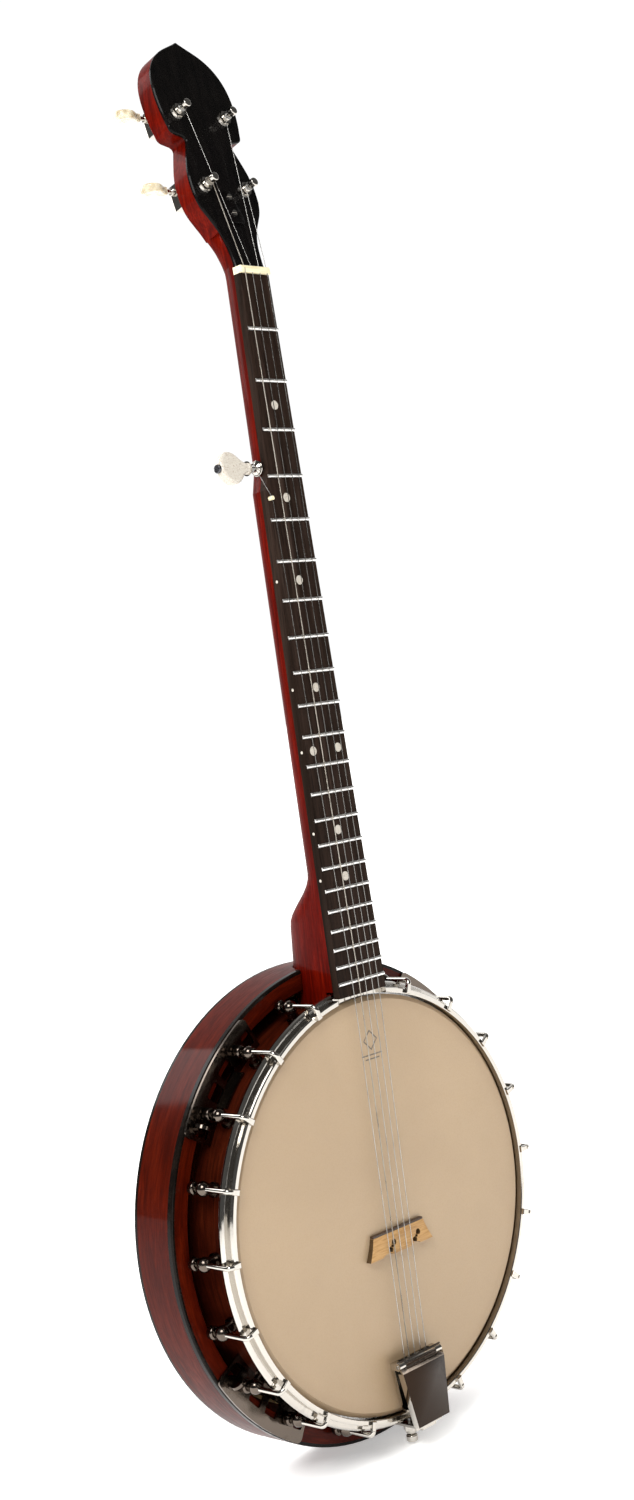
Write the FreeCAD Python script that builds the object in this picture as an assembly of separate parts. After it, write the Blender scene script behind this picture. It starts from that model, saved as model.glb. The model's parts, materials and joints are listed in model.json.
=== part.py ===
"""Five-string resonator banjo: one STEP file for each sub-part.

The model is drawn about the centre of the drum head.  X is to the right seen from the front, Y runs
backwards through the body and Z runs up the neck.  Everything is moved to the neck hanger point when
it is saved.  All lengths are in millimetres and all angles in degrees.
"""
import FreeCAD
import Part

import math
import os

V = FreeCAD.Vector
X_AXIS = V(1, 0, 0)
Y_AXIS = V(0, 1, 0)
ORIGIN = V(0, 0, 0)

# ---- head and rim -------------------------------------------------------------------------------
HEAD_THICKNESS = 0.4
HEAD_FLAT_R = 136.5
HEAD_SKIRT_BACK_Y = 9.6
TONE_RING_INNER_R = 129.0
TONE_RING_R = 133.5
RIM_OUTER_R = 139.0
RIM_INNER_R = 123.0
RIM_FRONT_Y = 8.0
RIM_BACK_Y = 60.0
SKIRT_INNER_R = 139.3
SKIRT_OUTER_R = 139.7
FLESH_OUTER_R = 143.8
FLESH_FRONT_Y = 6.9
FLESH_BACK_Y = 10.9
HOOP_INNER_R = 140.6
HOOP_OUTER_R = 144.3
HOOP_BEAD_R = 148.4
HOOP_FRONT_Y = -2.6
HOOP_BACK_Y = 8.4
HOOP_BEAD_FRONT_Y = 2.2
NECK_NOTCH_HALF = 23.6
NECK_NOTCH_BACK_Y = 2.4

# ---- brackets -----------------------------------------------------------------------------------
HOOK_STEP = 18.0
HOOK_COUNT = 18
HOOK_R = 150.3
HOOK_ROD_R = 1.7
HOOK_END_Y = 30.6
CLAW_THICKNESS = 2.2
CLAW_TIP_HALF_WIDTH = 2.1
CLAW_BEND_R = 3.0
SHOE_Y = 20.5
SHOE_RADIUS = 5.1
NUT_FRONT_Y = 25.8
NUT_BACK_Y = 31.1
NUT_RADIUS = 4.5
SHOE_BOLT_R = 2.2
SHOE_FOOT_R = 5.0
SHOE_WAIST_R = 3.6
BOLT_HEAD_FLATS = 8.0
HOLE_CLEARANCE = 0.1
FIT_GAP = 0.05

# ---- rods through the rim -----------------------------------------------------------------------
ROD_Y = 27.0
LOWER_BOLT_Y = 47.0
ROD_R = 2.5
ROD_TOP_Z = 110.0
ROD_BOTTOM_Z = -157.0
NECK_BOLT_START_Z = 112.0
UPPER_BOLT_END_Z = 172.0
LOWER_BOLT_END_Z = 168.0
ROD_NUT_FLATS = 10.0

# ---- flange plates ------------------------------------------------------------------------------
PLATE_FRONT_Y = 31.3
PLATE_BACK_Y = 32.9
PLATE_INNER_R = 139.1
PLATE_OUTER_R = 163.0
PLATE_CENTRES = {"upper_left": -45.0, "upper_right": 45.0, "lower_left": -135.0, "lower_right": 135.0}
PLATE_HALF_SPAN = 16.0
THUMB_OFFSET = 13.0
THUMB_R = 155.4
THUMB_HOLE_R = 2.0
PLATE_CORNER_R = 4.0
PLATE_WINDOWS = ((-5.4, -1.0), (1.0, 5.4), (-15.0, -11.9), (11.9, 15.0))
WINDOW_INNER_R = 144.0
WINDOW_OUTER_R = 154.4
WINDOW_CORNER_R = 1.4

# ---- resonator ----------------------------------------------------------------------------------
RESONATOR_R = 163.5
LIP_INNER_R = 149.6
LIP_FRONT_Y = 33.0
LIP_BACK_Y = 37.0
SIDE_INNER_R = 158.0
SIDE_BACK_Y = 66.5
BINDING_WIDTH = 2.4
BINDING_BACK_Y = 69.6
BACK_FACE_Y = 77.0
BACK_FLAT_R = 60.0
BACK_THICKNESS = 4.5

# ---- neck ---------------------------------------------------------------------------------------
SCALE_LENGTH = 667.0
NECK_TILT = 2.0
FRET_COUNT = 22
BOARD_FRONT_AT_LAST_FRET = -4.0
NUT_Z = 632.0
BOARD_THICKNESS = 6.0
BOARD_LENGTH = 489.0
BOARD_RIGHT_AT_NUT = 19.0
BOARD_RIGHT_AT_END = 22.6
BOARD_LEFT_AT_NUT = -8.5
BOARD_LEFT_AT_STEP = -11.3
STEP_START = 132.0
STEP_END = 147.0
BOARD_LEFT_AFTER_STEP = -16.2
BOARD_LEFT_AT_END = -22.8
NUT_THICKNESS = 5.0
NUT_HEIGHT = 2.1
EDGE_INSET = 0.2
DEPTH_AT_NUT = 15.6
DEPTH_AT_HEEL = 18.2
HEEL_START = 404.0
HEEL_CURVE_LENGTH = 36.0
HEEL_RISE = 29.0
HEEL_SLOPE = 0.12
HEEL_GAP = 0.8
DOT_FRETS = (3, 5, 7, 10, 12, 15, 17)
SIDE_DOT_FRETS = (7, 10, 12, 15, 17)
DOT_R = 3.1
SIDE_DOT_R = 1.0
OCTAVE_FRET = 12
OCTAVE_DOT_OFFSET = 12.0
NECK_ROUNDING = 2.3
TRUSS_ROD_R = 3.0
TRUSS_ROD_START = V(3, -14, 3)
TRUSS_ROD_END = V(1, -14, 401)
FRET_HALF_WIDTH = 1.25
FRET_HEIGHT = 1.0

# ---- peghead ------------------------------------------------------------------------------------
PEGHEAD_TILT = 14.4
PEGHEAD_CENTRE_X = 5.2
PEGHEAD_THICKNESS = 14.0
PEGHEAD_BACK_BEVEL = 0.6
OVERLAY_THICKNESS = 2.0
OVERLAY_DROP = 2.6
PEG_ROWS = (60.0, 115.0)
PEG_OFFSETS = (18.5, 21.5)
COVER_SCREWS = (40.0, 52.0)
VOLUTE_END = 26.0
VOLUTE_STATIONS = (
    (3.0, 13.6, 16.6, 2.5), (9.0, 14.0, 15.8, 3.0), (16.0, 15.1, 14.9, 4.2), (VOLUTE_END, 17.9, 14.0, 12.0))

# ---- tuners -------------------------------------------------------------------------------------
POST_R = 3.0
POST_HEIGHT = 12.5
WHEEL_R = 4.5
WORM_R = 2.0
WORM_OFFSET = 6.7
SHAFT_DEPTH = 22.0
SHAFT_R = 1.6
RUNNING_CLEARANCE = 0.06
BUTTON_START = 14.8
BUTTON_END = 34.3
BUTTON_TURNS = (14.0, 70.0, 18.0, 15.0)
EAR_Y = -11.0
BACK_Z = -OVERLAY_THICKNESS - PEGHEAD_THICKNESS
CASE_DEPTH = 11.0
CASE_HALF = 7.6
CASE_WALL = 1.1

# ---- fifth string peg ---------------------------------------------------------------------------
PEG5_S = 131.0
PEG5_H = -8.0
PEG5_INNER_X = -1.0
PEG5_SLEEVE_R = 4.0
PEG5_SHAFT_R = 2.3
PEG5_SEAT_X = -13.0
PEG5_COLLAR_R = 5.4
PEG5_FACE_X = -14.4
PEG5_SPOOL_X = -21.6
PEG5_BUTTON_X = -23.2
PEG5_END_X = -48.8
PEG5_SCREW_R = 1.3

# ---- bridge, laid flat on the head --------------------------------------------------------------
BRIDGE_X = 4.2
BRIDGE_CAP_Z = -17.5
BRIDGE_HEIGHT = 16.0
BRIDGE_CAP_HALF = 25.0
BRIDGE_FOOT_HALF = 31.5
BRIDGE_OPENINGS = (-8.5, 16.0)
BRIDGE_FOOT_GAPS = (-14.0, 14.0)
CAP_STRIP = 1.6
BRIDGE_FOOT_THICKNESS = 4.3
BRIDGE_CAP_THICKNESS = 3.0
OPENING_R = 2.1
OPENING_WAIST_R = 1.2
FOOT_GAP_R = 8.6

# ---- strings and tailpiece ----------------------------------------------------------------------
PLAIN_R = 0.27
WOUND_R = 0.40
STRING_AT_NUT = (15.7, 8.8, 1.9, -5.0)
STRING_AT_TAIL = (13.5, 8.0, 2.0, -3.8, -8.5)
STRING_ABOVE_BOARD = 1.45
FIFTH_NUT_X = -14.4
FIFTH_NUT_S = 153.0
TAIL_STRING_Y = -5.0
TAIL_HOOK_Z = -116.0
HINGE_Y = -9.8
HINGE_Z = -105.0
HINGE_R = 2.6
HINGE_PIN_R = 1.2
LID_HALF_FRONT = 21.5
LID_HALF_BACK = 15.6
LID_BACK_Z = -147.0
NOSE_FRONT_Y = -10.2
NOSE_FRONT_Z = -101.2
NOSE_BACK_Y = -14.0
NOSE_BACK_Z = -109.2
FLOOR_FRONT_Y = -4.4
FLOOR_BACK_Y = -3.2
SHELF_FRONT_Y = -11.6
SHELF_BACK_Y = -10.3
RISER_Z = -136.0
STRAP_Z = -150.6
STRAP_THICKNESS = 1.6
STRAP_HALF = 7.0
TENSION_SCREW_Y = 6.0
LID_TAIL_Y = -17.0
SHEET_THICKNESS = 1.2
KNUCKLE_INNER_X = 15.6
BARREL_HALF = 15.3

# ---- frame --------------------------------------------------------------------------------------
HANGER = V(PEGHEAD_CENTRE_X, 22.0, 648.0)

SCALE_TO_LAST_FRET = SCALE_LENGTH * (1 - 2 ** (-FRET_COUNT / 12))
NUT_Y = BOARD_FRONT_AT_LAST_FRET + SCALE_TO_LAST_FRET * math.sin(math.radians(NECK_TILT))
NECK_PLACE = FreeCAD.Placement(V(0, NUT_Y, NUT_Z), FreeCAD.Rotation(X_AXIS, 180 - NECK_TILT))
PEGHEAD_PLACE = FreeCAD.Placement(
    NECK_PLACE.multVec(V(PEGHEAD_CENTRE_X, -OVERLAY_DROP, -NUT_THICKNESS)),
    FreeCAD.Rotation(X_AXIS, 90 - PEGHEAD_TILT))


# ---- helpers ------------------------------------------------------------------------------------
def save(node, shape):
    """Move a shape to the hanger point and write it."""
    moved = shape.copy()
    moved.translate(HANGER * -1)
    moved.exportStep("parts/" + node + ".step")


def neck(shape):
    """Place a shape drawn with x across, y out of the fretboard and z from the nut to the body."""
    placed = shape.copy()
    placed.Placement = NECK_PLACE.multiply(shape.Placement)
    return placed


def peghead(shape):
    """Place a shape drawn with x across, y up the peghead and z out of its face."""
    placed = shape.copy()
    placed.Placement = PEGHEAD_PLACE.multiply(shape.Placement)
    return placed


def box(low, high):
    size = high - low
    return Part.makeBox(size.x, size.y, size.z, low)


def rod(start, end, radius):
    return Part.makeCylinder(radius, (end - start).Length, start, end - start)


def ball(centre, radius):
    return Part.makeSphere(radius, centre)


def cone(start, end, start_radius, end_radius):
    return Part.makeCone(start_radius, end_radius, (end - start).Length, start, end - start)


def turned(profile):
    """Solid of revolution about Y from (radius, y) corners."""
    corners = [V(r, y, 0) for r, y in profile]
    face = Part.Face(Part.makePolygon(corners + corners[:1]))
    return face.revolve(ORIGIN, Y_AXIS, 360)


def around(shape, angle):
    """Turn a shape drawn at the neck end to an angle round the rim."""
    copy = shape.copy()
    copy.rotate(ORIGIN, Y_AXIS, angle)
    return copy


def union(shapes):
    return shapes[0].multiFuse(shapes[1:]).removeSplitter()


def group(shapes):
    return Part.makeCompound(shapes)


def spline(points):
    curve = Part.BSplineCurve()
    curve.interpolate(points)
    return curve.toShape()


def hexagon(centre, across_flats, axis, length):
    """Hexagonal prism that starts at centre and runs along axis."""
    reach = across_flats / math.sqrt(3)
    corners = [V(reach * math.cos(math.radians(60 * i)), reach * math.sin(math.radians(60 * i)), 0)
               for i in range(6)]
    prism = Part.Face(Part.makePolygon(corners + corners[:1])).extrude(V(0, 0, length))
    prism.Placement = FreeCAD.Placement(centre, FreeCAD.Rotation(V(0, 0, 1), axis))
    return prism


def fret_position(number):
    return SCALE_LENGTH * (1 - 2 ** (-number / 12))


def board_right(s):
    return BOARD_RIGHT_AT_NUT + (BOARD_RIGHT_AT_END - BOARD_RIGHT_AT_NUT) * s / BOARD_LENGTH


def board_left(s):
    if s <= STEP_START:
        return BOARD_LEFT_AT_NUT + (BOARD_LEFT_AT_STEP - BOARD_LEFT_AT_NUT) * s / STEP_START
    if s < STEP_END:
        run = (s - STEP_START) / (STEP_END - STEP_START)
        return BOARD_LEFT_AT_STEP + (BOARD_LEFT_AFTER_STEP - BOARD_LEFT_AT_STEP) * run
    run = (s - STEP_END) / (BOARD_LENGTH - STEP_END)
    return BOARD_LEFT_AFTER_STEP + (BOARD_LEFT_AT_END - BOARD_LEFT_AFTER_STEP) * run


def hook_angles():
    half = HOOK_COUNT // 2
    return [side * HOOK_STEP * i for side in (-1, 1) for i in range(1, half + 1)]


# ---- rim, head and hoop -------------------------------------------------------------------------
def wood_rim():
    ring = turned([(RIM_INNER_R, RIM_FRONT_Y), (RIM_OUTER_R, RIM_FRONT_Y),
                   (RIM_OUTER_R, RIM_BACK_Y), (RIM_INNER_R, RIM_BACK_Y)])
    holes = [around(rod(V(0, SHOE_Y, RIM_INNER_R - 4), V(0, SHOE_Y, RIM_OUTER_R + 4),
                        SHOE_BOLT_R + HOLE_CLEARANCE), a)
             for a in hook_angles()]
    holes.append(rod(V(0, ROD_Y, -RIM_OUTER_R - 4), V(0, ROD_Y, RIM_OUTER_R + 4), ROD_R + HOLE_CLEARANCE))
    holes.append(rod(V(0, LOWER_BOLT_Y, 0), V(0, LOWER_BOLT_Y, RIM_OUTER_R + 4), ROD_R + HOLE_CLEARANCE))
    return ring.cut(holes)


def tone_hoop():
    return turned([(TONE_RING_INNER_R, RIM_FRONT_Y), (TONE_RING_INNER_R, 4.2),
                   (TONE_RING_R - 2, HEAD_THICKNESS + 0.8),
                   (TONE_RING_R, HEAD_THICKNESS), (TONE_RING_R + 2, HEAD_THICKNESS + 0.8), (RIM_OUTER_R, 3.6),
                   (RIM_OUTER_R, RIM_FRONT_Y)])


def drum_head():
    return turned([(0, 0), (HEAD_FLAT_R, 0), (SKIRT_OUTER_R, 2.4), (SKIRT_OUTER_R, HEAD_SKIRT_BACK_Y),
                   (SKIRT_INNER_R, HEAD_SKIRT_BACK_Y), (SKIRT_INNER_R, 2.8), (HEAD_FLAT_R - 0.2,
                                                                              HEAD_THICKNESS),
                   (0, HEAD_THICKNESS)])


def flesh_hoop():
    return turned([(SKIRT_OUTER_R, FLESH_FRONT_Y), (FLESH_OUTER_R, FLESH_FRONT_Y),
                   (FLESH_OUTER_R, FLESH_BACK_Y), (SKIRT_OUTER_R, FLESH_BACK_Y)])


def tension_hoop():
    bead_front = HOOP_BEAD_FRONT_Y
    ring = turned([
        (HOOP_INNER_R, HOOP_FRONT_Y + 0.5), (HOOP_INNER_R + 0.5, HOOP_FRONT_Y),
        (HOOP_OUTER_R - 0.7, HOOP_FRONT_Y), (HOOP_OUTER_R, HOOP_FRONT_Y + 0.7),
        (HOOP_OUTER_R, bead_front), (HOOP_BEAD_R - 1.6, bead_front + 0.3),
        (HOOP_BEAD_R - 0.5, bead_front + 1.3), (HOOP_BEAD_R, bead_front + 2.7),
        (HOOP_BEAD_R - 0.5, bead_front + 4.1), (HOOP_BEAD_R - 1.6, bead_front + 5.1),
        (HOOP_OUTER_R + 0.5, bead_front + 5.4), (HOOP_OUTER_R + 0.5, HOOP_BACK_Y),
        (FLESH_OUTER_R + 0.2, HOOP_BACK_Y), (FLESH_OUTER_R + 0.2, FLESH_FRONT_Y - 0.05),
        (HOOP_INNER_R, FLESH_FRONT_Y - 0.05)])
    neck_notch = box(V(-NECK_NOTCH_HALF, -12, 120), V(NECK_NOTCH_HALF, NECK_NOTCH_BACK_Y, 160))
    return ring.cut(neck_notch)


# ---- brackets -----------------------------------------------------------------------------------
def one_hook():
    """Bent rod: a stem beside the hoop, a quarter bend and a flattened finger over the hoop's front edge."""
    bend_y = HOOP_FRONT_Y - CLAW_THICKNESS / 2 + CLAW_BEND_R - 0.05
    inner_r = HOOK_R - CLAW_BEND_R
    stem = rod(V(0, bend_y, HOOK_R), V(0, HOOK_END_Y, HOOK_R), HOOK_ROD_R)
    section = Part.Face(Part.Wire(Part.makeCircle(HOOK_ROD_R, V(0, bend_y, HOOK_R), Y_AXIS)))
    bend = section.revolve(V(0, bend_y, inner_r), X_AXIS, 90)
    front = HOOP_FRONT_Y - CLAW_THICKNESS
    tip_r = HOOP_INNER_R + 0.4
    root_r = inner_r + 0.4
    finger = [V(-CLAW_TIP_HALF_WIDTH, front, tip_r), V(CLAW_TIP_HALF_WIDTH, front, tip_r),
              V(HOOK_ROD_R, front, root_r), V(-HOOK_ROD_R, front, root_r)]
    finger = Part.Face(Part.makePolygon(finger + finger[:1])).extrude(V(0, CLAW_THICKNESS - 0.05, 0))
    rounded = [e for e in finger.Edges if e.BoundBox.YMax < front + 0.01]
    finger = finger.makeFillet(0.6, rounded)
    hook = stem.multiFuse([bend, finger])
    return hook.cut(rod(V(0, HOOP_FRONT_Y - 0.05, 0), V(0, 12, 0), HOOP_BEAD_R + HOLE_CLEARANCE))


def one_hook_nut():
    centre = V(0, NUT_FRONT_Y, HOOK_R)
    length = NUT_BACK_Y - NUT_FRONT_Y
    body = rod(centre, centre + V(0, length, 0), NUT_RADIUS)
    body = body.makeFillet(1.5, [e for e in body.Edges if e.Closed])
    return body.cut(rod(centre - V(0, 1, 0), centre + V(0, length + 1, 0), HOOK_ROD_R))


def one_shoe():
    """Round cast shoe: a foot on the rim, a waist and a ball with the hook's hole through it."""
    foot = rod(V(0, SHOE_Y, RIM_OUTER_R - 1), V(0, SHOE_Y, RIM_OUTER_R + 2.4), SHOE_FOOT_R)
    waist = rod(V(0, SHOE_Y, RIM_OUTER_R + 2), V(0, SHOE_Y, HOOK_R - 3), SHOE_WAIST_R)
    knob = ball(V(0, SHOE_Y, HOOK_R - 1.0), SHOE_RADIUS)
    body = foot.multiFuse([waist, knob])
    body = body.cut(rod(V(0, SHOE_Y - 20, 0), V(0, SHOE_Y + 20, 0), RIM_OUTER_R + FIT_GAP))
    body = body.cut(rod(V(0, SHOE_Y - 9, HOOK_R), V(0, SHOE_Y + 9, HOOK_R), HOOK_ROD_R + HOLE_CLEARANCE))
    return body.cut(rod(V(0, SHOE_Y, RIM_OUTER_R - 5), V(0, SHOE_Y, HOOK_R - 4), SHOE_BOLT_R + FIT_GAP))


def one_shoe_bolt():
    head = hexagon(V(0, SHOE_Y, RIM_INNER_R - 5.2), BOLT_HEAD_FLATS, V(0, 0, 1), 3.6)
    washer = rod(V(0, SHOE_Y, RIM_INNER_R - 1.6), V(0, SHOE_Y, RIM_INNER_R - 0.3), 6.0)
    stem = rod(V(0, SHOE_Y, RIM_INNER_R - 2.0), V(0, SHOE_Y, HOOK_R - 5), SHOE_BOLT_R)
    return union([head, washer, stem])


def ring_of(piece):
    return group([around(piece, a) for a in hook_angles()])


# ---- rods that hold the neck to the rim ---------------------------------------------------------
def neck_bolts():
    upper = rod(V(0, ROD_Y, NECK_BOLT_START_Z), V(0, ROD_Y, UPPER_BOLT_END_Z), ROD_R)
    lower = rod(V(0, LOWER_BOLT_Y, NECK_BOLT_START_Z), V(0, LOWER_BOLT_Y, LOWER_BOLT_END_Z), ROD_R)
    return group([upper, lower])


def coordinator_rod():
    return rod(V(0, ROD_Y, ROD_TOP_Z), V(0, ROD_Y, ROD_BOTTOM_Z), ROD_R)


def rod_nuts():
    coupler = hexagon(V(0, ROD_Y, 104), ROD_NUT_FLATS, V(0, 0, 1), 16)
    inner = hexagon(V(0, ROD_Y, -121.5), ROD_NUT_FLATS, V(0, 0, -1), -4.0)
    outer = hexagon(V(0, ROD_Y, -152.4), 9, V(0, 0, -1), 4.0)
    lower = hexagon(V(0, LOWER_BOLT_Y, 117), ROD_NUT_FLATS, V(0, 0, 1), 4.5)
    nuts = [coupler, inner, outer, lower]
    shanks = [coordinator_rod()] + neck_bolts().Solids
    return group([n.cut(shanks) for n in nuts])


# ---- flange plates ------------------------------------------------------------------------------
def sector(inner_r, outer_r, low_y, high_y, start, end):
    """Part of a ring between two angles measured from the neck."""
    corners = [V(inner_r, low_y, 0), V(outer_r, low_y, 0), V(outer_r, high_y, 0), V(inner_r, high_y, 0)]
    face = Part.Face(Part.makePolygon(corners + corners[:1]))
    face.rotate(ORIGIN, Y_AXIS, start - 90)
    return face.revolve(ORIGIN, Y_AXIS, end - start)


def flange_plate(centre_angle):
    towards_side = math.copysign(1, 90 - abs(centre_angle)) * math.copysign(1, centre_angle)
    plate = sector(PLATE_INNER_R, PLATE_OUTER_R, PLATE_FRONT_Y, PLATE_BACK_Y, -PLATE_HALF_SPAN,
                   PLATE_HALF_SPAN)
    corners = [e for e in plate.Edges if e.Length < 2 and e.CenterOfMass.distanceToPoint(V(0, 32, 0)) > 150]
    plate = plate.makeFillet(PLATE_CORNER_R, corners)
    tab = sector(PLATE_INNER_R, PLATE_INNER_R + 1.4, PLATE_FRONT_Y - 5, PLATE_BACK_Y, -5.5, 5.5)
    plate = union([plate, tab])
    windows = []
    for start, end in PLATE_WINDOWS:
        window = sector(WINDOW_INNER_R, WINDOW_OUTER_R, PLATE_FRONT_Y - 1, PLATE_BACK_Y + 1, start, end)
        uprights = [e for e in window.Edges if abs(e.Length - (PLATE_BACK_Y - PLATE_FRONT_Y + 2)) < 0.01]
        windows.append(window.makeFillet(WINDOW_CORNER_R, uprights))
    for offset in (-HOOK_STEP / 2, HOOK_STEP / 2):
        hole = rod(V(0, 20, HOOK_R), V(0, 40, HOOK_R), HOOK_ROD_R + 0.6)
        windows.append(around(hole, offset))
    screw_hole = rod(V(0, 20, THUMB_R), V(0, 40, THUMB_R), THUMB_HOLE_R)
    windows.append(around(screw_hole, towards_side * THUMB_OFFSET))
    return around(plate.cut(windows), centre_angle)


def thumbscrew_angles():
    return [c + math.copysign(THUMB_OFFSET, c) * math.copysign(1,
                                                               90 - abs(c)) for c in PLATE_CENTRES.values()]


def one_thumbscrew():
    collar = rod(V(0, PLATE_FRONT_Y - 1.6, THUMB_R), V(0, PLATE_FRONT_Y - 0.02, THUMB_R), 4.4)
    wing = rod(V(-1.1, PLATE_FRONT_Y - 6.2, THUMB_R), V(1.1, PLATE_FRONT_Y - 6.2, THUMB_R), 4.8)
    post = rod(V(0, PLATE_FRONT_Y - 4.0, THUMB_R), V(0, PLATE_FRONT_Y - 1.0, THUMB_R), 2.2)
    stem = rod(V(0, PLATE_FRONT_Y - 2.0, THUMB_R), V(0, 46, THUMB_R), 1.9)
    return union([collar, wing, post, stem])


def one_resonator_lug():
    block = box(V(-9, LIP_BACK_Y + 0.02, 152.4), V(9, 54, SIDE_INNER_R + 4))
    inside = rod(V(0, 0, 0), V(0, 90, 0), SIDE_INNER_R - 0.02)
    hole = rod(V(0, 30, THUMB_R), V(0, 47, THUMB_R), THUMB_HOLE_R)
    return block.common(inside).cut(hole)


# ---- resonator ----------------------------------------------------------------------------------
def heel_notch(shape):
    return shape.cut(neck(neck_block(HEEL_START, 600, HEEL_GAP)))


def resonator_lip():
    edge = RESONATOR_R - BINDING_WIDTH
    lip = turned([(LIP_INNER_R, LIP_FRONT_Y + 0.8), (LIP_INNER_R + 0.8, LIP_FRONT_Y), (edge, LIP_FRONT_Y),
                  (edge, LIP_BACK_Y), (LIP_INNER_R, LIP_BACK_Y)])
    holes = [around(rod(V(0, 30, THUMB_R), V(0, 50, THUMB_R), THUMB_HOLE_R + HOLE_CLEARANCE),
                    a) for a in thumbscrew_angles()]
    return heel_notch(lip).cut(holes)


def resonator_side():
    return heel_notch(turned([(SIDE_INNER_R, LIP_BACK_Y), (RESONATOR_R, LIP_BACK_Y),
                              (RESONATOR_R, SIDE_BACK_Y), (SIDE_INNER_R, SIDE_BACK_Y)]))


def resonator_bindings():
    edge = RESONATOR_R - BINDING_WIDTH
    front = turned([(edge, LIP_FRONT_Y), (RESONATOR_R - 1.0, LIP_FRONT_Y),
                    (RESONATOR_R - 0.3, LIP_FRONT_Y + 0.3),
                    (RESONATOR_R, LIP_FRONT_Y + 1.0), (RESONATOR_R, LIP_BACK_Y), (edge, LIP_BACK_Y)])
    back = turned([(edge, SIDE_BACK_Y), (RESONATOR_R, SIDE_BACK_Y), (RESONATOR_R, BINDING_BACK_Y - 1.0),
                   (RESONATOR_R - 0.3, BINDING_BACK_Y - 0.3), (RESONATOR_R - 1.0, BINDING_BACK_Y),
                   (edge, BINDING_BACK_Y)])
    return group([heel_notch(front), back])


def resonator_back():
    edge = RESONATOR_R - BINDING_WIDTH
    outer_mid = V(118, BACK_FACE_Y - 1.9, 0)
    inner_mid = V(116, BACK_FACE_Y - BACK_THICKNESS - 2.0, 0)
    inner_flat_y = BACK_FACE_Y - BACK_THICKNESS
    outer = Part.Arc(V(BACK_FLAT_R, BACK_FACE_Y, 0), outer_mid, V(edge, BINDING_BACK_Y, 0)).toShape()
    inner = Part.Arc(V(SIDE_INNER_R - 4, SIDE_BACK_Y, 0), inner_mid,
                     V(BACK_FLAT_R, inner_flat_y, 0)).toShape()
    edges = [
        Part.makeLine(V(0, inner_flat_y, 0), V(0, BACK_FACE_Y, 0)),
        Part.makeLine(V(0, BACK_FACE_Y, 0), V(BACK_FLAT_R, BACK_FACE_Y, 0)),
        outer,
        Part.makeLine(V(edge, BINDING_BACK_Y, 0), V(edge, SIDE_BACK_Y, 0)),
        Part.makeLine(V(edge, SIDE_BACK_Y, 0), V(SIDE_INNER_R - 4, SIDE_BACK_Y, 0)),
        inner,
        Part.makeLine(V(BACK_FLAT_R, inner_flat_y, 0), V(0, inner_flat_y, 0))]
    return Part.Face(Part.Wire(edges)).revolve(ORIGIN, Y_AXIS, 360)


# ---- neck ---------------------------------------------------------------------------------------
def neck_section(s, left, right, depth, power, grow=0.0):
    """Closed outline across the neck: flat in front and rounded behind."""
    centre = (left + right) / 2
    half = (right - left) / 2 + grow
    top = -BOARD_THICKNESS
    count = 12
    points = []
    for i in range(count + 1):
        angle = math.pi * i / count
        x = centre + half * math.copysign(abs(math.cos(angle)) ** (2 / power), math.cos(angle))
        points.append(V(x, top - (depth + grow) * math.sin(angle) ** (2 / power), s))
    points[0] = V(centre + half, top, s)
    points[-1] = V(centre - half, top, s)
    return Part.Wire([Part.makeLine(points[-1], points[0]), spline(points)])


def neck_depth(s):
    """Depth of wood behind the fretboard: a slow taper, a quick curve into the heel, then a slow taper."""
    if s <= HEEL_START:
        return DEPTH_AT_NUT + (DEPTH_AT_HEEL - DEPTH_AT_NUT) * s / HEEL_START
    run = min((s - HEEL_START) / HEEL_CURVE_LENGTH, 1.0)
    eased = run * run * (3 - 2 * run)
    return DEPTH_AT_HEEL + HEEL_RISE * eased + HEEL_SLOPE * max(s - HEEL_START - HEEL_CURVE_LENGTH, 0)


def neck_block(start, end, grow=0.0):
    """Neck wood between two distances from the nut."""
    stations = [0, 30, 90, STEP_START, 137, 142, STEP_END, 200, 260, 320, 370, HEEL_START]
    stations += [HEEL_START + HEEL_CURVE_LENGTH * (i + 1) / 9 for i in range(9)]
    stations += [455, 475, BOARD_LENGTH, 505]
    sections = []
    for s in [v for v in stations if start <= v <= end]:
        on_board = min(s, BOARD_LENGTH)
        left = board_left(on_board) + EDGE_INSET
        right = board_right(on_board) - EDGE_INSET
        sections.append(neck_section(s, left, right, neck_depth(s), NECK_ROUNDING, grow))
    return Part.makeLoft(sections, True, True)


def peghead_outline():
    """Half outline of the peghead as edges, from the nut up to the tip."""
    lower = [(13.6, -3.0), (13.9, 8.0), (16.2, 22.0), (21.5, 33.5), (27.9, 44.5), (30.1, 58.0),
             (29.0, 70.0), (25.2, 82.0), (21.4, 92.0)]
    ledge = [(21.4, 92.0), (21.9, 95.8), (25.4, 97.2), (30.6, 98.6), (33.4, 103.5)]
    upper = [(33.4, 103.5), (35.4, 113.0), (36.4, 126.0), (34.4, 141.0), (28.4, 153.0), (18.0, 162.4),
             (8.0, 167.6), (0.0, 171.8)]
    return lower, ledge, upper


def peghead_face():
    parts = peghead_outline()
    right = [spline([V(x, t, 0) for x, t in part]) for part in parts]
    left = [spline([V(-x, t, 0) for x, t in part]) for part in parts]
    base = Part.makeLine(V(-parts[0][0][0], parts[0][0][1], 0), V(parts[0][0][0], parts[0][0][1], 0))
    edges = [base] + right + left[::-1]
    return Part.Face(Part.Wire(Part.__sortEdges__(edges)))


def peghead_core():
    core = peghead_face().extrude(V(0, 0, -PEGHEAD_THICKNESS))
    core.translate(V(0, 0, -OVERLAY_THICKNESS))
    back_edges = [e for e in core.Edges if e.BoundBox.ZMax < BACK_Z + 0.01 and e.Length > 4.0]
    core = core.makeChamfer(PEGHEAD_BACK_BEVEL, back_edges)
    above_volute = box(V(-50, VOLUTE_END - 0.1, -30), V(50, 200, 10))
    return peghead(core.common(above_volute))


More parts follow.
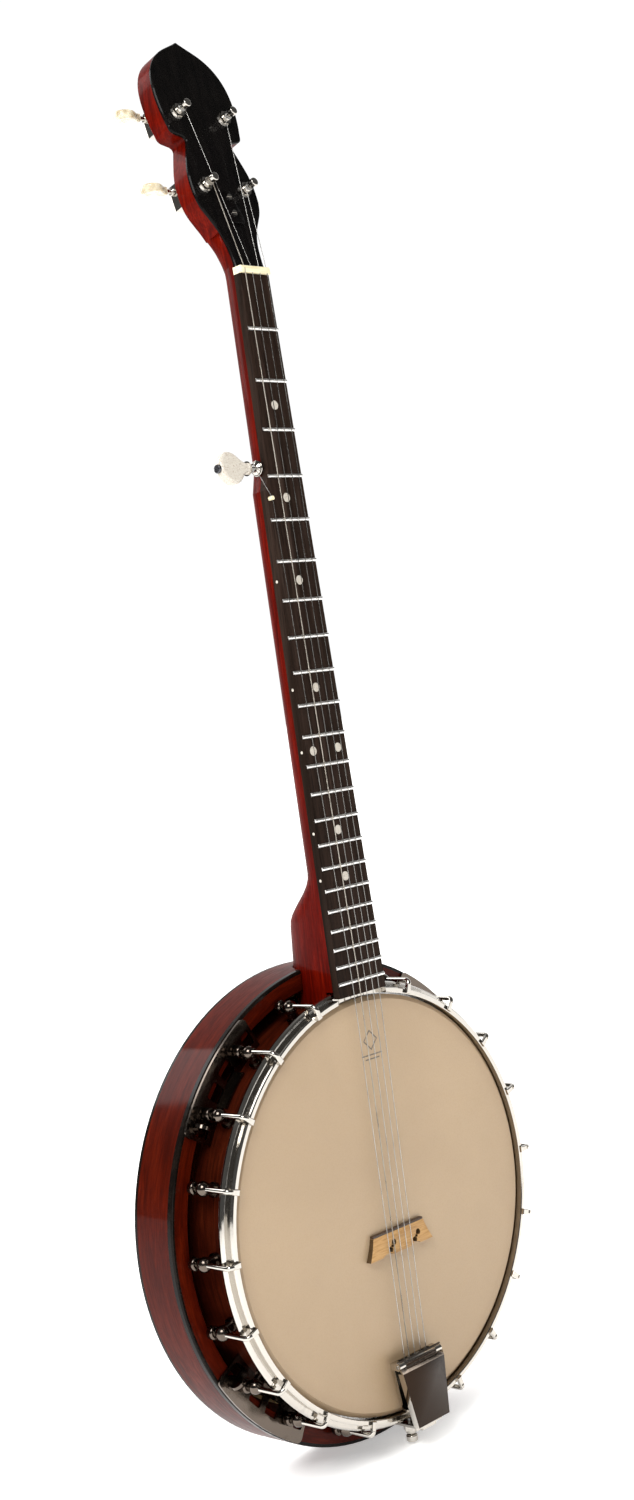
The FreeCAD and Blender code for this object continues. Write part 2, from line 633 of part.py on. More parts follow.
def volute():
    """Blend between the back of the neck and the back of the peghead."""
    left = board_left(0) + EDGE_INSET
    right = board_right(0) - EDGE_INSET
    bottom = neck_section(0, left, right, DEPTH_AT_NUT, NECK_ROUNDING)
    bottom.Placement = NECK_PLACE.multiply(bottom.Placement)
    wires = [bottom]
    for t, half, depth, power in VOLUTE_STATIONS:
        count = 12
        points = []
        for i in range(count + 1):
            angle = math.pi * i / count
            x = half * math.copysign(abs(math.cos(angle)) ** (2 / power), math.cos(angle))
            points.append(V(x, t, -OVERLAY_THICKNESS - depth * math.sin(angle) ** (2 / power)))
        points[0] = V(half, t, -OVERLAY_THICKNESS)
        points[-1] = V(-half, t, -OVERLAY_THICKNESS)
        wire = Part.Wire([Part.makeLine(points[-1], points[0]), spline(points)])
        wire.Placement = PEGHEAD_PLACE.multiply(wire.Placement)
        wires.append(wire)
    return Part.makeLoft(wires, True, True)


def neck_shaft():
    body = union([neck(neck_block(0, 600)), peghead_core(), volute()])
    body = body.cut(rod(V(0, -60, 0), V(0, HOOP_BACK_Y + 0.8, 0), HOOP_BEAD_R + 0.8))
    body = body.cut(rod(V(0, -60, 0), V(0, FLESH_BACK_Y + 0.3, 0), FLESH_OUTER_R + 0.5))
    body = body.cut(rod(V(0, -60, 0), V(0, 120, 0), RIM_OUTER_R + 0.04))
    body = body.cut(neck(box(V(-30, -BOARD_THICKNESS, -NUT_THICKNESS), V(30, 20, BOARD_LENGTH + 40))))
    body = body.cut(neck(box(V(-30, -BOARD_THICKNESS - 0.01, -NUT_THICKNESS), V(30, 20, 0))))
    body = body.cut(peghead(box(V(-50, -3, -OVERLAY_THICKNESS), V(50, 190, 30))))
    body = body.cut(neck_bolts().Solids)
    body = body.cut(neck(rod(TRUSS_ROD_START - V(0, 0, 1), TRUSS_ROD_END + V(0, 0, 1),
                             TRUSS_ROD_R + FIT_GAP)))
    body = body.cut([tuner_place(i, rod(V(0, 0, -40), V(0, 0, 5), 4.3)) for i in range(4)])
    return body.cut(fifth_peg_pocket())


def fifth_peg_pocket():
    """Hole for the fifth peg's sleeve, with a flat seat for its collar."""
    hole = rod(peg5(PEG5_INNER_X), peg5(-40), PEG5_SLEEVE_R)
    seat = rod(peg5(PEG5_SEAT_X), peg5(-40), PEG5_COLLAR_R + 0.5)
    return neck(union([hole, seat]))


def fretboard():
    outline = [(board_right(0), 0), (board_right(BOARD_LENGTH), BOARD_LENGTH),
               (board_left(BOARD_LENGTH), BOARD_LENGTH), (board_left(STEP_END), STEP_END),
               (board_left(STEP_START), STEP_START), (board_left(0), 0)]
    corners = [V(x, -BOARD_THICKNESS, s) for x, s in outline]
    board = Part.Face(Part.makePolygon(corners + corners[:1])).extrude(V(0, BOARD_THICKNESS, 0))
    board = board.makeChamfer(0.35, [e for e in board.Edges if e.BoundBox.YMin > -0.01 and e.Length > 100])
    pockets = dots(0.05)
    pockets.append(rod(V(FIFTH_NUT_X, -3, FIFTH_NUT_S), V(FIFTH_NUT_X, 3, FIFTH_NUT_S), 1.45))
    return neck(board.cut(pockets)).cut(fifth_peg_pocket())


def fret_ends(s):
    return board_left(s) + 0.3, board_right(s) - 0.3


def frets():
    half_width = FRET_HALF_WIDTH
    height = FRET_HEIGHT
    bars = []
    for number in range(1, FRET_COUNT + 1):
        s = fret_position(number)
        left, right = fret_ends(s)
        arc = Part.Arc(V(left, 0.01, s - half_width), V(left, height, s),
                       V(left, 0.01, s + half_width)).toShape()
        base = Part.makeLine(V(left, 0.01, s + half_width), V(left, 0.01, s - half_width))
        bars.append(neck(Part.Face(Part.Wire([arc, base])).extrude(V(right - left, 0, 0))))
    return group(bars)


def between_frets(number):
    return (fret_position(number) + fret_position(number - 1)) / 2


def dots(grow=0.0):
    """Front and side position dots in neck coordinates."""
    solids = []
    for number in DOT_FRETS:
        s = between_frets(number)
        middle = (board_left(s) + board_right(s)) / 2
        offsets = (-OCTAVE_DOT_OFFSET, OCTAVE_DOT_OFFSET) if number == OCTAVE_FRET else (0.0,)
        for offset in offsets:
            x = middle + offset
            solids.append(rod(V(x, -1.2 - grow, s), V(x, 0.02 + grow, s), DOT_R + grow))
    for number in SIDE_DOT_FRETS:
        s = between_frets(number)
        edge = board_left(s)
        solids.append(rod(V(edge - 0.02 - grow, -2.6, s), V(edge + 1.4 + grow, -2.6, s), SIDE_DOT_R + grow))
    return solids


def position_dots():
    return group([neck(dot) for dot in dots()])


def nut():
    body = box(V(BOARD_LEFT_AT_NUT, -BOARD_THICKNESS + 0.02, -NUT_THICKNESS + 0.05),
               V(BOARD_RIGHT_AT_NUT, NUT_HEIGHT, -0.02))
    body = body.makeFillet(0.9, [e for e in body.Edges if e.BoundBox.YMin > NUT_HEIGHT - 0.01])
    body = neck(body)
    return body.cut([path(points, radius + 0.06) for points, radius in string_paths()[:4]])


def fifth_string_nut():
    post = rod(V(FIFTH_NUT_X, -2.9, FIFTH_NUT_S), V(FIFTH_NUT_X, 3.4, FIFTH_NUT_S), 1.4)
    points, radius = string_paths()[4]
    return neck(post).cut(path(points, radius + 0.06))


def truss_rod():
    return neck(rod(TRUSS_ROD_START, TRUSS_ROD_END, TRUSS_ROD_R))


def peghead_overlay():
    plate = peghead_face().extrude(V(0, 0, OVERLAY_THICKNESS - 0.02))
    plate.translate(V(0, 0, -OVERLAY_THICKNESS + 0.02))
    plate = plate.makeChamfer(0.7, [e for e in plate.Edges if e.BoundBox.ZMin > -0.01 and e.Length > 8])
    cutters = [peg_local(i, rod(V(0, 0, -9), V(0, 0, 9), 4.35)) for i in range(4)]
    cutters += [rod(V(0, t, -9), V(0, t, 9), 1.15) for t in COVER_SCREWS]
    plate = peghead(plate.cut(cutters))
    return plate.cut(neck(box(V(-30, -20, -NUT_THICKNESS + 0.01), V(30, 20, 20))))


def truss_rod_cover():
    side = [(7.2, 33.0), (7.6, 39.0), (5.4, 46.0), (4.4, 52.0), (2.6, 56.4), (0.0, 57.6)]
    right = spline([V(x, t, 0.02) for x, t in side])
    left = spline([V(-x, t, 0.02) for x, t in side])
    base = Part.makeLine(V(-7.2, 33.0, 0.02), V(7.2, 33.0, 0.02))
    plate = Part.Face(Part.Wire(Part.__sortEdges__([base, right, left]))).extrude(V(0, 0, 1.5))
    return peghead(plate.cut([rod(V(0, t, -2), V(0, t, 9), 1.15) for t in COVER_SCREWS]))


def wood_screws():
    screws = []
    for t in COVER_SCREWS:
        shank = rod(V(0, t, -1.9), V(0, t, 1.8), 1.05)
        head = rod(V(0, t, 1.54), V(0, t, 2.5), 2.2)
        slot = box(V(-3, t - 0.25, 2.0), V(3, t + 0.25, 3))
        screws.append(peghead(union([shank, head]).cut(slot)))
    for i in range(4):
        shank = rod(V(0, EAR_Y, BACK_Z - 1.8), V(0, EAR_Y, BACK_Z - 0.1), 1.05)
        head = rod(V(0, EAR_Y, BACK_Z - 2.9), V(0, EAR_Y, BACK_Z - 1.42), 2.1)
        slot = box(V(-3, EAR_Y - 0.25, BACK_Z - 4), V(3, EAR_Y + 0.25, BACK_Z - 2.4))
        screws.append(tuner_place(i, union([shank, head]).cut(slot)))
    return group(screws)


# ---- tuners -------------------------------------------------------------------------------------
def peg_side(index):
    return -1 if index in (0, 2) else 1


def peg_local(index, shape):
    """Put a shape drawn about a post's axis in the peghead's own coordinates."""
    row = index // 2
    moved = shape.copy()
    moved.translate(V(peg_side(index) * PEG_OFFSETS[row], PEG_ROWS[row], 0))
    return moved


def tuner_place(index, shape):
    """Put a shape drawn about a left-hand post in place, mirrored on the right-hand side."""
    drawn = shape if peg_side(index) < 0 else shape.mirror(ORIGIN, X_AXIS)
    return peghead(peg_local(index, drawn))


def one_housing():
    low = V(-CASE_HALF, -6.4, BACK_Z - CASE_DEPTH)
    high = V(CASE_HALF, WORM_OFFSET + 4.4, BACK_Z - 0.02)
    case = box(low, high)
    case = case.makeFillet(2.2, [e for e in case.Edges if e.CenterOfMass.z < BACK_Z - CASE_DEPTH / 2 - 1])
    ear = rod(V(0, EAR_Y, BACK_Z - 1.4), V(0, EAR_Y, BACK_Z - 0.02), 3.6)
    ear_bridge = box(V(-3.6, EAR_Y, BACK_Z - 1.4), V(3.6, -6.0, BACK_Z - 0.02))
    body = union([case, ear, ear_bridge])
    wall = V(CASE_WALL, CASE_WALL, CASE_WALL)
    cavity = box(low + wall, high - wall)
    post_hole = rod(V(0, 0, BACK_Z - CASE_WALL - 1), V(0, 0, BACK_Z + 2), POST_R + RUNNING_CLEARANCE)
    shaft_hole = rod(V(0, WORM_OFFSET, -SHAFT_DEPTH), V(-30, WORM_OFFSET, -SHAFT_DEPTH),
                     SHAFT_R + RUNNING_CLEARANCE)
    ear_hole = rod(V(0, EAR_Y, BACK_Z - 9), V(0, EAR_Y, BACK_Z + 9), 1.15)
    return body.cut([cavity, post_hole, shaft_hole, ear_hole])


def one_bushing():
    """Threaded collar pressed into the peghead with a washer on its face."""
    flange = Part.makeCone(5.4, 4.9, 1.6, V(0, 0, 0.05))
    collar = hexagon(V(0, 0, 1.4), 8.6, V(0, 0, 1), 1.9)
    sleeve = rod(V(0, 0, BACK_Z + 0.1), V(0, 0, 2), 4.25)
    bore = rod(V(0, 0, BACK_Z - 2), V(0, 0, 9), POST_R + RUNNING_CLEARANCE)
    return union([flange, collar, sleeve]).cut(bore)


def one_post():
    shaft = rod(V(0, 0, BACK_Z - CASE_DEPTH + CASE_WALL + 0.4), V(0, 0, 4.2), POST_R)
    waist = [cone(V(0, 0, 4.2), V(0, 0, 6.6), POST_R, 2.1), cone(V(0, 0, 6.6), V(0, 0, 9.4), 2.1, POST_R)]
    top = rod(V(0, 0, 9.4), V(0, 0, POST_HEIGHT), POST_R)
    top = top.makeFillet(0.8, [e for e in top.Edges if e.Closed and e.BoundBox.ZMin > POST_HEIGHT - 0.01])
    hole = rod(V(-6, 0, 7.4), V(6, 0, 7.4), 0.7)
    wheel = rod(V(0, 0, -SHAFT_DEPTH - 1.6), V(0, 0, -SHAFT_DEPTH + 1.6), WHEEL_R)
    return union([shaft, top, wheel] + waist).cut(hole)


def one_shaft():
    y = WORM_OFFSET
    z = -SHAFT_DEPTH
    worm = rod(V(5.2, y, z), V(-5.2, y, z), WORM_R)
    shaft = rod(V(5.6, y, z), V(-BUTTON_START - 9, y, z), SHAFT_R)
    collar = rod(V(-CASE_HALF - 0.4, y, z), V(-CASE_HALF - 2.4, y, z), 2.7)
    collar = collar.makeFillet(0.6, [e for e in collar.Edges if e.Closed])
    return union([worm, shaft, collar])


def paddle(start, end, half_height, half_thickness, stem_radius):
    """Flat rounded tuner button that points along -X, drawn about the X axis."""
    length = end - start
    outline = [(start, stem_radius + 0.9), (start + 0.16 * length, stem_radius + 1.6),
               (start + 0.42 * length, half_height * 0.86), (start + 0.68 * length, half_height),
               (start + 0.90 * length, half_height * 0.70), (end, 0.0)]
    upper = spline([V(-x, h, -half_thickness) for x, h in outline])
    lower = spline([V(-x, -h, -half_thickness) for x, h in outline])
    stem = outline[0][1]
    base = Part.makeLine(V(-start, -stem, -half_thickness), V(-start, stem, -half_thickness))
    body = Part.Face(Part.Wire(Part.__sortEdges__([base, upper, lower]))).extrude(V(0, 0, 2 * half_thickness))
    return body.makeFillet(half_thickness * 0.62, [e for e in body.Edges if e.Length > half_height])


def one_button(turn):
    body = paddle(BUTTON_START, BUTTON_END, 7.4, 2.9, SHAFT_R)
    body = body.cut(rod(V(0, 0, 0), V(-BUTTON_START - 9.02, 0, 0), SHAFT_R + 0.02))
    body.rotate(ORIGIN, X_AXIS, 90 + turn)
    body.translate(V(0, WORM_OFFSET, -SHAFT_DEPTH))
    return body


# ---- fifth string peg ---------------------------------------------------------------------------
def peg5(x):
    return V(x, PEG5_H, PEG5_S)


def fifth_peg_sleeve():
    sleeve = rod(peg5(PEG5_INNER_X - 0.1), peg5(PEG5_FACE_X + 0.6), PEG5_SLEEVE_R - 0.02)
    collar = rod(peg5(PEG5_SEAT_X - 0.02), peg5(PEG5_FACE_X), PEG5_COLLAR_R)
    collar = collar.makeFillet(0.5, [e for e in collar.Edges if e.Closed])
    bore = rod(peg5(PEG5_INNER_X - 1.4), peg5(PEG5_FACE_X - 2), PEG5_SHAFT_R + RUNNING_CLEARANCE)
    return neck(union([sleeve, collar]).cut(bore))


def fifth_peg_shaft():
    stem = rod(peg5(PEG5_INNER_X - 1.8), peg5(PEG5_BUTTON_X - 12), PEG5_SHAFT_R)
    inner = cone(peg5(PEG5_FACE_X - 0.4), peg5(PEG5_FACE_X - 1.6), 4.4, 2.7)
    spool = rod(peg5(PEG5_FACE_X - 1.2), peg5(PEG5_SPOOL_X), 2.7)
    outer = cone(peg5(PEG5_SPOOL_X + 0.6), peg5(PEG5_BUTTON_X + 0.05), 2.7, 5.0)
    hole = rod(V(-19.5, PEG5_H, PEG5_S - 6), V(-19.5, PEG5_H, PEG5_S + 6), 0.7)
    return neck(union([stem, inner, spool, outer]).cut(hole))


def fifth_peg_button():
    body = paddle(-PEG5_BUTTON_X, -PEG5_END_X, 11.4, 3.6, 2.6)
    body = body.cut(rod(V(0, 0, 0), V(PEG5_BUTTON_X - 12.02, 0, 0), PEG5_SHAFT_R + 0.02))
    body = body.cut(rod(V(PEG5_BUTTON_X - 11, 0, 0), V(-70, 0, 0), PEG5_SCREW_R + 0.02))
    body.rotate(ORIGIN, X_AXIS, 90 - 12)
    body.translate(V(0, PEG5_H, PEG5_S))
    return neck(body)


def fifth_peg_screw():
    shank = rod(peg5(PEG5_BUTTON_X - 12.1), peg5(PEG5_END_X - 0.4), PEG5_SCREW_R)
    head = rod(peg5(PEG5_END_X - 0.2), peg5(PEG5_END_X - 2.0), 3.0)
    head = head.makeFillet(0.7, [e for e in head.Edges if e.Closed and e.BoundBox.XMax < PEG5_END_X - 1.5])
    slot = box(V(PEG5_END_X - 3, PEG5_H - 4, PEG5_S - 0.35), V(PEG5_END_X - 1.2, PEG5_H + 4, PEG5_S + 0.35))
    return neck(union([shank, head]).cut(slot))


# ---- strings ------------------------------------------------------------------------------------
def path(points, radius):
    """Round wire through points with mitred bends."""
    spine = Part.makePolygon(points)
    section = Part.Wire(Part.makeCircle(radius, points[0], points[1] - points[0]))
    return spine.makePipeShell([section], True, False, 1)


def string_paths():
    """Centre line and radius of each string, first string first."""
    paths = []
    post_order = (1, 3, 2, 0)
    for i, x in enumerate(STRING_AT_NUT):
        radius = WOUND_R if i == 3 else PLAIN_R
        index = post_order[i]
        row = index // 2
        side = peg_side(index)
        post = V(side * PEG_OFFSETS[row], PEG_ROWS[row], 5.3)
        reach = 2.6 + radius
        start = PEGHEAD_PLACE.multVec(post + V(-side * reach, 0, 0))
        over_nut = NECK_PLACE.multVec(V(x, STRING_ABOVE_BOARD + radius, -NUT_THICKNESS / 2))
        paths.append(([start, over_nut] + lower_run(x, i, radius), radius))
    peg = NECK_PLACE.multVec(V(-18.4, PEG5_H + 2.7 + PLAIN_R, PEG5_S))
    over_pip = NECK_PLACE.multVec(V(FIFTH_NUT_X, 2.9, FIFTH_NUT_S))
    paths.append(([peg, over_pip] + lower_run(FIFTH_NUT_X, 4, PLAIN_R), PLAIN_R))
    return paths


def lower_run(x, index, radius):
    """Points from the last fret to the hook inside the tailpiece."""
    tail_x = STRING_AT_TAIL[index]
    last = fret_position(FRET_COUNT)
    at_last = x + (tail_x - x) * last / (NUT_Z - HINGE_Z)
    on_fret = NECK_PLACE.multVec(V(at_last, FRET_HEIGHT + radius + 0.12, last))
    return [on_fret, V(tail_x, TAIL_STRING_Y, HINGE_Z + 4), V(tail_x, TAIL_STRING_Y, TAIL_HOOK_Z)]


def plain_strings():
    paths = string_paths()
    return group([path(*paths[i]) for i in (0, 1, 2, 4)])


def wound_string():
    return path(*string_paths()[3])


# ---- bridge, laid flat on the head --------------------------------------------------------------
def bridge_blank(top, bottom):
    """Wedge-shaped slice of the bridge between two distances below its cap edge."""
    def half(d):
        return BRIDGE_CAP_HALF + (BRIDGE_FOOT_HALF - BRIDGE_CAP_HALF) * (d / BRIDGE_HEIGHT) ** 1.4

    def thickness(d):
        return BRIDGE_CAP_THICKNESS + (BRIDGE_FOOT_THICKNESS - BRIDGE_CAP_THICKNESS) * d / BRIDGE_HEIGHT

    count = 5
    steps = [top + (bottom - top) * i / (count - 1) for i in range(count)]
    right = [V(BRIDGE_X + half(d), 0, BRIDGE_CAP_Z - d) for d in steps]
    left = [V(BRIDGE_X - half(d), 0, BRIDGE_CAP_Z - d) for d in steps]
    edges = [spline(right), spline(left), Part.makeLine(right[0], left[0]),
             Part.makeLine(right[-1], left[-1])]
    slab = Part.Face(Part.Wire(Part.__sortEdges__(edges))).extrude(V(0, -8, 0))
    wedge = [V(-40, -0.05, BRIDGE_CAP_Z), V(-40, -thickness(0), BRIDGE_CAP_Z),
             V(-40, -thickness(BRIDGE_HEIGHT), BRIDGE_CAP_Z - BRIDGE_HEIGHT),
             V(-40, -0.05, BRIDGE_CAP_Z - BRIDGE_HEIGHT)]
    keep = Part.Face(Part.makePolygon(wedge + wedge[:1])).extrude(V(90, 0, 0))
    return slab.common(keep)


def bridge():
    body = bridge_blank(CAP_STRIP, BRIDGE_HEIGHT)
    cuts = []
    for x in BRIDGE_OPENINGS:
        lobes = [V(BRIDGE_X + x + side * 2.1, -9, BRIDGE_CAP_Z - 10.6 + side * 2.0) for side in (-1, 1)]
        cuts += [rod(lobe, lobe + V(0, 10, 0), OPENING_R) for lobe in lobes]
        waist = (lobes[0] + lobes[1]) * 0.5
        cuts.append(rod(waist, waist + V(0, 10, 0), OPENING_WAIST_R))
    for x in BRIDGE_FOOT_GAPS:
        sole = V(BRIDGE_X + x, -9, BRIDGE_CAP_Z - BRIDGE_HEIGHT - 7.0)
        cuts.append(rod(sole, sole + V(0, 10, 0), FOOT_GAP_R))
    return body.cut(cuts)


def bridge_cap():
    return bridge_blank(0.0, CAP_STRIP - 0.02)


# ---- tailpiece ----------------------------------------------------------------------------------
def lid_half(z):
    run = (HINGE_Z - z) / (HINGE_Z - LID_BACK_Z)
    return LID_HALF_FRONT + (LID_HALF_BACK - LID_HALF_FRONT) * run


def trapezoid(z_start, z_end, inset, low_y, high_y):
    """Slab with the lid's outline between two stations along the tailpiece."""
    a = lid_half(z_start) - inset
    b = lid_half(z_end) - inset
    corners = [V(-a, low_y, z_start), V(a, low_y, z_start), V(b, low_y, z_end), V(-b, low_y, z_end)]
    return Part.Face(Part.makePolygon(corners + corners[:1])).extrude(V(0, high_y - low_y, 0))


def hinge_barrel(start_x, end_x):
    tube = rod(V(start_x, HINGE_Y, HINGE_Z), V(end_x, HINGE_Y, HINGE_Z), HINGE_R)
    return tube.cut(rod(V(-30, HINGE_Y, HINGE_Z), V(30, HINGE_Y, HINGE_Z), HINGE_PIN_R + RUNNING_CLEARANCE))


def tailpiece_base():
    floor = trapezoid(HINGE_Z + 2.0, RISER_Z - SHEET_THICKNESS, 2.2, FLOOR_FRONT_Y, FLOOR_BACK_Y)
    riser = trapezoid(RISER_Z, RISER_Z - SHEET_THICKNESS, 2.2, SHELF_FRONT_Y, FLOOR_BACK_Y)
    shelf = trapezoid(RISER_Z, STRAP_Z, 2.2, SHELF_FRONT_Y, SHELF_BACK_Y)
    neck_strip = box(V(-STRAP_HALF, SHELF_FRONT_Y, STRAP_Z - STRAP_THICKNESS),
                     V(STRAP_HALF, SHELF_BACK_Y, STRAP_Z + 1))
    strap = box(V(-STRAP_HALF, SHELF_FRONT_Y, STRAP_Z - STRAP_THICKNESS), V(STRAP_HALF, 31.0, STRAP_Z))
    pieces = [floor, riser, shelf, neck_strip, strap]
    for side in (-1, 1):
        cheek = box(V(KNUCKLE_INNER_X, HINGE_Y, HINGE_Z - 2.2),
                    V(LID_HALF_FRONT - 0.2, FLOOR_BACK_Y, HINGE_Z + 2.0))
        knuckle = hinge_barrel(KNUCKLE_INNER_X, LID_HALF_FRONT - 0.2)
        both = union([knuckle, cheek])
        both = both.cut(rod(V(-30, HINGE_Y, HINGE_Z), V(30, HINGE_Y, HINGE_Z),
                            HINGE_PIN_R + RUNNING_CLEARANCE))
        pieces.append(both if side > 0 else both.mirror(ORIGIN, X_AXIS))
    for x in STRING_AT_TAIL:
        pieces.append(rod(V(x, FLOOR_FRONT_Y + 0.2, TAIL_HOOK_Z - 1.6),
                          V(x, TAIL_STRING_Y - 1.4, TAIL_HOOK_Z - 1.6), 1.1))
    body = union(pieces)
    body = body.cut(rod(V(0, ROD_Y, -140), V(0, ROD_Y, -170), ROD_R + HOLE_CLEARANCE))
    return body.cut(rod(V(0, TENSION_SCREW_Y, -149), V(0, TENSION_SCREW_Y, -170), 2.05))


def tailpiece_lid():
    """Cover with a sloping nose in front, a flat top that rises to the tail, and turned-down sides."""
    slope = math.degrees(math.atan2(NOSE_BACK_Y - LID_TAIL_Y, NOSE_BACK_Z - LID_BACK_Z))
    top = trapezoid(NOSE_BACK_Z, LID_BACK_Z, 0, NOSE_BACK_Y, NOSE_BACK_Y + SHEET_THICKNESS)
    walls = trapezoid(NOSE_BACK_Z, LID_BACK_Z, 0, NOSE_BACK_Y, NOSE_BACK_Y + 4.6)
    hollow = trapezoid(NOSE_BACK_Z + 1, LID_BACK_Z + SHEET_THICKNESS, SHEET_THICKNESS,
                       NOSE_BACK_Y + SHEET_THICKNESS, NOSE_BACK_Y + 9)
    shell = walls.cut(hollow).fuse(top)
    shell.rotate(V(0, NOSE_BACK_Y, NOSE_BACK_Z), X_AXIS, -slope)
    profile = [V(-30, NOSE_FRONT_Y, NOSE_FRONT_Z), V(-30, NOSE_BACK_Y, NOSE_BACK_Z),
               V(-30, NOSE_BACK_Y + SHEET_THICKNESS, NOSE_BACK_Z - 0.6),
               V(-30, NOSE_FRONT_Y + SHEET_THICKNESS, NOSE_FRONT_Z - 0.6)]
    nose = Part.Face(Part.makePolygon(profile + profile[:1])).extrude(V(60, 0, 0))
    nose = nose.common(trapezoid(NOSE_FRONT_Z + 3, LID_BACK_Z, 0, -20, 20))
    barrel = hinge_barrel(-BARREL_HALF, BARREL_HALF)
    web = box(V(-BARREL_HALF, NOSE_BACK_Y + 0.8, HINGE_Z - 3.0), V(BARREL_HALF, HINGE_Y, HINGE_Z - 1.6))
    clear = [rod(V(side * BARREL_HALF, HINGE_Y, HINGE_Z), V(side * 30, HINGE_Y, HINGE_Z), HINGE_R + 0.3)
             for side in (-1, 1)]
    body = shell.multiFuse([nose, barrel, web]).cut(clear)
    return body.cut(rod(V(-30, HINGE_Y, HINGE_Z), V(30, HINGE_Y, HINGE_Z), HINGE_PIN_R + RUNNING_CLEARANCE))


def tailpiece_pin():
    reach = LID_HALF_FRONT + 0.3
    return rod(V(-reach, HINGE_Y, HINGE_Z), V(reach, HINGE_Y, HINGE_Z), HINGE_PIN_R)


def tailpiece_bracket():
    """Tube between the rim and the tailpiece strap."""
    outer = rod(V(0, ROD_Y, -RIM_OUTER_R + 1), V(0, ROD_Y, STRAP_Z + 0.05), 5.0)
    outer = outer.cut(rod(V(0, 0, 0), V(0, 90, 0), RIM_OUTER_R + FIT_GAP))
    return outer.cut(rod(V(0, ROD_Y, -120), V(0, ROD_Y, -170), ROD_R + HOLE_CLEARANCE))


def tailpiece_bolt():
    tip = HOOP_BEAD_R + 0.3
    return rod(V(0, TENSION_SCREW_Y, -tip), V(0, TENSION_SCREW_Y, -162), 2.0)


def tailpiece_nuts():
    start = STRAP_Z - STRAP_THICKNESS - 0.05
    flats = hexagon(V(0, TENSION_SCREW_Y, start), 9.0, V(0, 0, -1), 4.2)
    dome = ball(V(0, TENSION_SCREW_Y, start - 4.0), 4.2)
    dome = dome.cut(box(V(-10, -10, start - 4.0), V(10, 20, start + 10)))
    knob = rod(V(0, TENSION_SCREW_Y, -159.8), V(0, TENSION_SCREW_Y, -164.6), 4.0)
    knob = knob.makeFillet(1.2, [e for e in knob.Edges if e.Closed])
    return group([union([flats, dome]).cut(tailpiece_bolt()), knob.cut(tailpiece_bolt())])


# ---- all nodes ----------------------------------------------------------------------------------
def main():
    os.makedirs("parts", exist_ok=True)
    nodes = {
        "wood_rim": wood_rim(), "tone_hoop": tone_hoop(), "drum_head": drum_head(), "flesh_hoop": flesh_hoop(),
        "tension_hoop": tension_hoop(), "bracket_hooks": ring_of(one_hook()),
        "hook_nuts": ring_of(one_hook_nut()),
        "bracket_shoes": ring_of(one_shoe()), "shoe_bolts": ring_of(one_shoe_bolt()),
        "coordinator_rod": coordinator_rod(), "rod_nuts": rod_nuts(), "neck_bolts": neck_bolts(),
        "flange_thumbscrews": group([around(one_thumbscrew(), a) for a in thumbscrew_angles()]),
        "resonator_lugs": group([around(one_resonator_lug(), a) for a in thumbscrew_angles()]),
        "resonator_back": resonator_back(), "resonator_side": resonator_side(),
        "resonator_lip": resonator_lip(), "resonator_bindings": resonator_bindings(),
        "neck_shaft": neck_shaft(), "fretboard": fretboard(), "frets": frets(), "nut": nut(),
        "position_dots": position_dots(), "fifth_string_nut": fifth_string_nut(),
        "peghead_overlay": peghead_overlay(), "truss_rod": truss_rod(), "truss_rod_cover": truss_rod_cover(),
        "wood_screws": wood_screws(),
        "tuner_housings": group([tuner_place(i, one_housing()) for i in range(4)]),
        "tuner_bushings": group([tuner_place(i, one_bushing()) for i in range(4)]),
        "fifth_peg_sleeve": fifth_peg_sleeve(), "fifth_peg_shaft": fifth_peg_shaft(),
        "fifth_peg_button": fifth_peg_button(), "fifth_peg_screw": fifth_peg_screw(),
        "plain_strings": plain_strings(), "wound_string": wound_string(),
        "bridge": bridge(), "bridge_cap": bridge_cap(),
        "tailpiece_base": tailpiece_base(), "tailpiece_lid": tailpiece_lid(), "tailpiece_pin": tailpiece_pin(),
        "tailpiece_bracket": tailpiece_bracket(), "tailpiece_bolt": tailpiece_bolt(),
        "tailpiece_nuts": tailpiece_nuts(),
    }
    for name, angle in PLATE_CENTRES.items():
        nodes["flange_plate_" + name] = flange_plate(angle)
    for i in range(4):
        prefix = "tuner_" + str(i + 1)
        nodes[prefix + "_post"] = tuner_place(i, one_post())
        nodes[prefix + "_shaft"] = tuner_place(i, one_shaft())
        nodes[prefix + "_button"] = tuner_place(i, one_button(BUTTON_TURNS[i]))
    for name, shape in nodes.items():
        save(name, shape)
    return nodes


main()
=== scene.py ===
"""Five-string resonator banjo: materials, string windings, soft edges, head mark, studio and camera.

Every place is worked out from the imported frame.  The head centre is the middle of the drum head's front
face.  All lengths are in metres, X is to the right, Y runs backwards and Z runs up the neck.
"""

import json
import math

import bmesh
import bpy
from mathutils import Matrix, Vector


